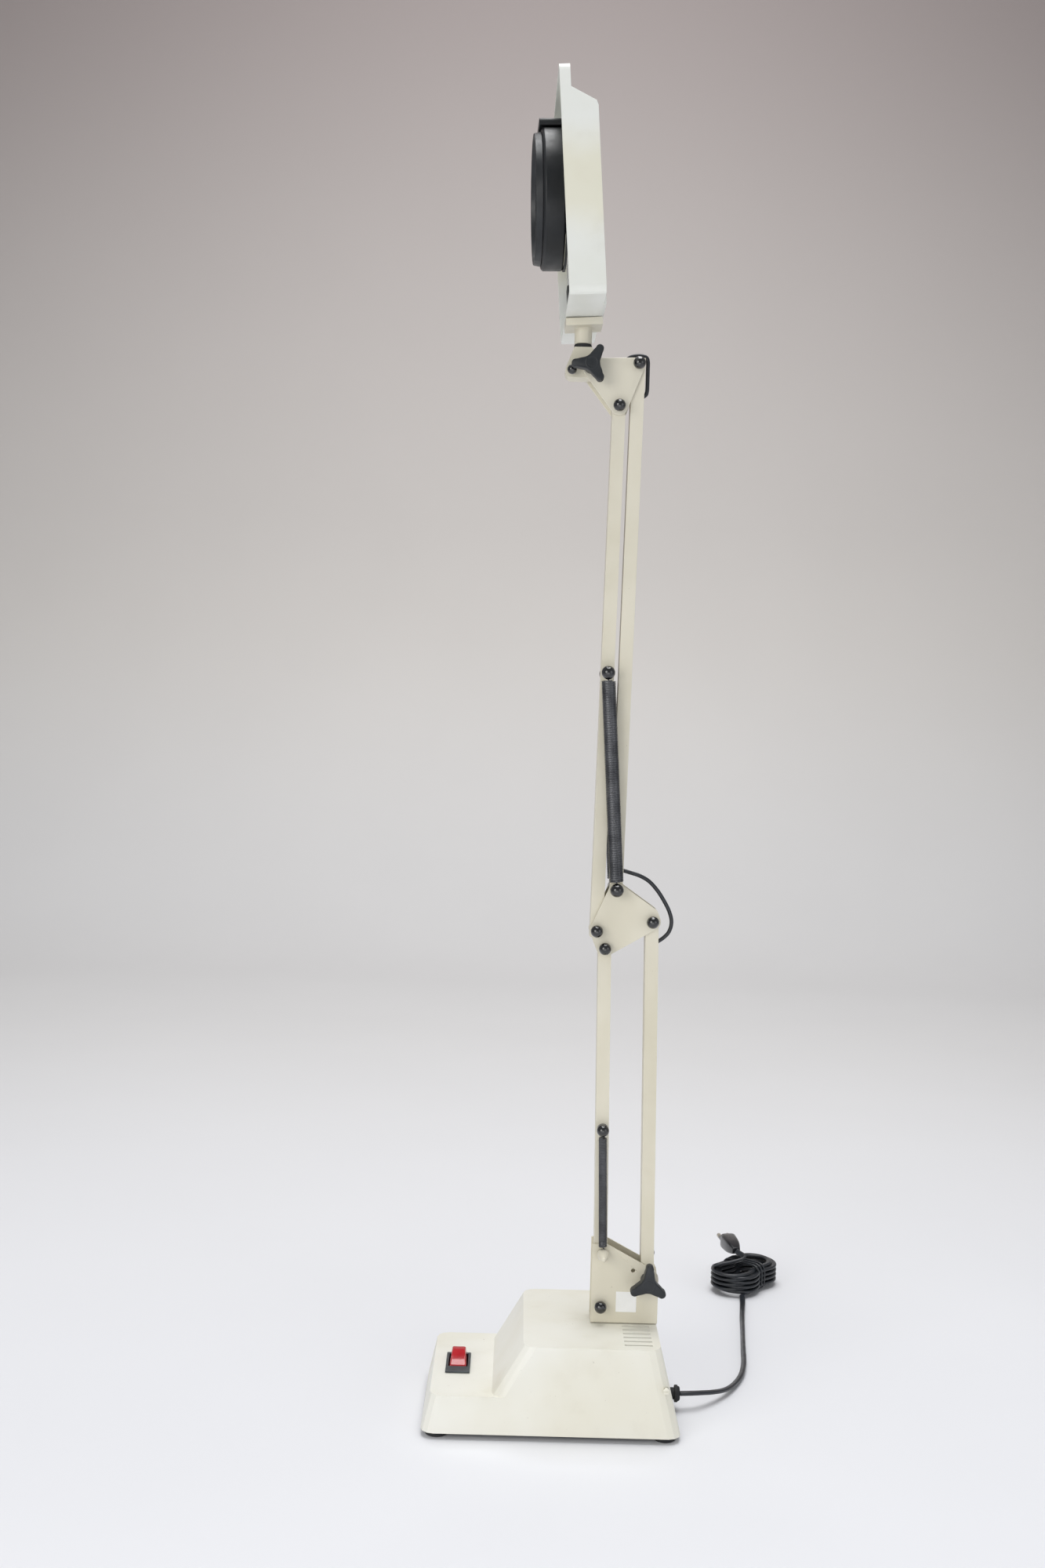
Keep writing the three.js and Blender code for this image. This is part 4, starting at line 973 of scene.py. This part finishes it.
HEAD_ROUTE_MM = [
    (46.4, 0, 721), (48.3, 0, 722.4), (48.9, 0, 724), (49.2, 0, 727), (49.2, 0, 733), (49.2, 0, 740),
    (49.1, 0, 745.6), (48, 0, 748.4), (44.6, 0, 749.6), (40, 0, 749.4), (36.4, 0, 748.2), (33.4, 0, 746),
    (28, 0, 744.2), (21, 0, 744), (15.6, 0, 744), (13.6, 0, 744),
]
head_line = smooth_path(mm(HEAD_ROUTE_MM), LEAD_STEP)
head_lead = swept("head_lead_flex", head_line, circle_section(LEAD_RADIUS, 14), FLEX, start_up=(0, 1, 0))
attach(head_lead, "head_bracket")
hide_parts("head_lead")


# ---------------------------------------------------------------- lamp head
refined("head_housing", HEAD_PAINT, "head", 1.0 * MM, 4, 18)
refined("lamp_holder_near", RING_PLASTIC, "head", 0.8 * MM)
refined("lamp_holder_far", RING_PLASTIC, "head", 0.8 * MM)
refined("lens_ring", RING_PLASTIC, "head", 0.5 * MM, 3, 30)
refined("lens_bezel", BEZEL_PLASTIC, "head", 0.4 * MM, 3, 30)
refined("lens_carrier", RING_PLASTIC, "head", 0.4 * MM, 2, 35)
for node in ("lens", "lamp_bulb_near", "lamp_bulb_far"):
    glass = LENS_GLASS if node == "lens" else BULB_GLASS
    refined(node, glass, "head", 0.15 * MM, 2, 50)

# The dark washer between the knuckle and the head's tube.
washer = lathed(
    "neck_washer",
    mm([(4.2, 0.1), (6.0, 0.1), (6.25, 0.5), (6.25, 2.3), (6.0, 2.75), (4.2, 2.75), (4.2, 0.1)]),
    (0.0032, 0, 0.7532), (0, 0, 1), RUBBER,
)
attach(washer, "knuckle")


# ---------------------------------------------------------------- floor and light
def backdrop_material():
    """One sheet with painted shade: a cool near-white floor that greys towards its back and turns into a
    warm grey wall, painted darker towards its top.
    """
    n = Nodes("studio_backdrop")
    cloud = n.noise(3, 2)
    front = n.mix(cloud, srgb(228, 229, 233), srgb(232, 233, 237))
    # painted shade: the floor's back is greyer than its front
    rear = n.mix(cloud, srgb(212, 211, 211), srgb(216, 215, 215))
    floor = n.mix(n.span(n.axis("Y"), -0.3, 1.6), front, rear)
    # painted shade: the wall is a warmer grey than the floor and darker towards its top
    low_wall = n.mix(cloud, srgb(204, 200, 196), srgb(208, 204, 200))
    wall = n.mix(n.span(n.axis("Z"), 0.4, 2.6), low_wall, srgb(148, 138, 136))
    n.set(Base_Color=n.mix(n.span(n.axis("Z"), 0.0, 0.8), floor, wall), Roughness=0.7)
    return n.material


FLOOR_FRONT = -4.0
FLOOR_DEPTH = 2.0
SWEEP_RADIUS = 1.0
SWEEP_STEPS = 16
WALL_TOP = 4.5
HALF_SPAN = 5.0
BELOW_FEET = 0.0002


def backdrop():
    """A flat floor, a quarter curve and a wall, in one sheet."""
    profile = [(FLOOR_FRONT, 0.0)]
    for step in range(SWEEP_STEPS + 1):
        angle = math.radians(90 * step / SWEEP_STEPS)
        out, up = SWEEP_RADIUS * math.sin(angle), SWEEP_RADIUS * (1 - math.cos(angle))
        profile.append((FLOOR_DEPTH + out, up))
    profile.append((FLOOR_DEPTH + SWEEP_RADIUS, WALL_TOP))
    verts = [(x, y, z) for y, z in profile for x in (-HALF_SPAN, HALF_SPAN)]
    faces = [(2 * i, 2 * i + 1, 2 * i + 3, 2 * i + 2) for i in range(len(profile) - 1)]
    sheet = new_object("studio_backdrop", mesh_of("studio_backdrop", verts, faces), backdrop_material())
    sheet.location.z = -BELOW_FEET
    return sheet


backdrop()

world = bpy.data.worlds.new("studio")
world.use_nodes = True
world.node_tree.nodes["Background"].inputs["Color"].default_value = (0.9, 0.92, 0.95, 1)
world.node_tree.nodes["Background"].inputs["Strength"].default_value = 0.38
bpy.context.scene.world = world


def area_light(name, location, target, size, power, colour=(1, 1, 1)):
    """A round soft light at the location, facing the target."""
    data = bpy.data.lights.new(name, "AREA")
    data.shape = "DISK"
    data.size = size
    data.energy = power
    data.color = colour
    light = bpy.data.objects.new(name, data)
    bpy.context.scene.collection.objects.link(light)
    light.location = location
    light.rotation_euler = (Vector(target) - Vector(location)).to_track_quat("-Z", "Y").to_euler()


area_light("key", (-1.2, -1.6, 0.8), (0, 0, 0.15), 1.3, 13.5, (1, 0.98, 0.95))
area_light("fill", (1.6, -1.3, 0.7), (0, 0, 0.2), 1.5, 5, (0.96, 0.97, 1))
area_light("bounce", (0.0, -0.9, 0.12), (0, 0, 0.08), 0.8, 1.7)
area_light("top", (0.1, 0.0, 2.4), (0, 0, 0.3), 1.5, 32)
area_light("wall", (0, 1.2, 2.6), (0, 3.0, 1.0), 1.6, 32)

bpy.context.scene.view_settings.view_transform = "Standard"
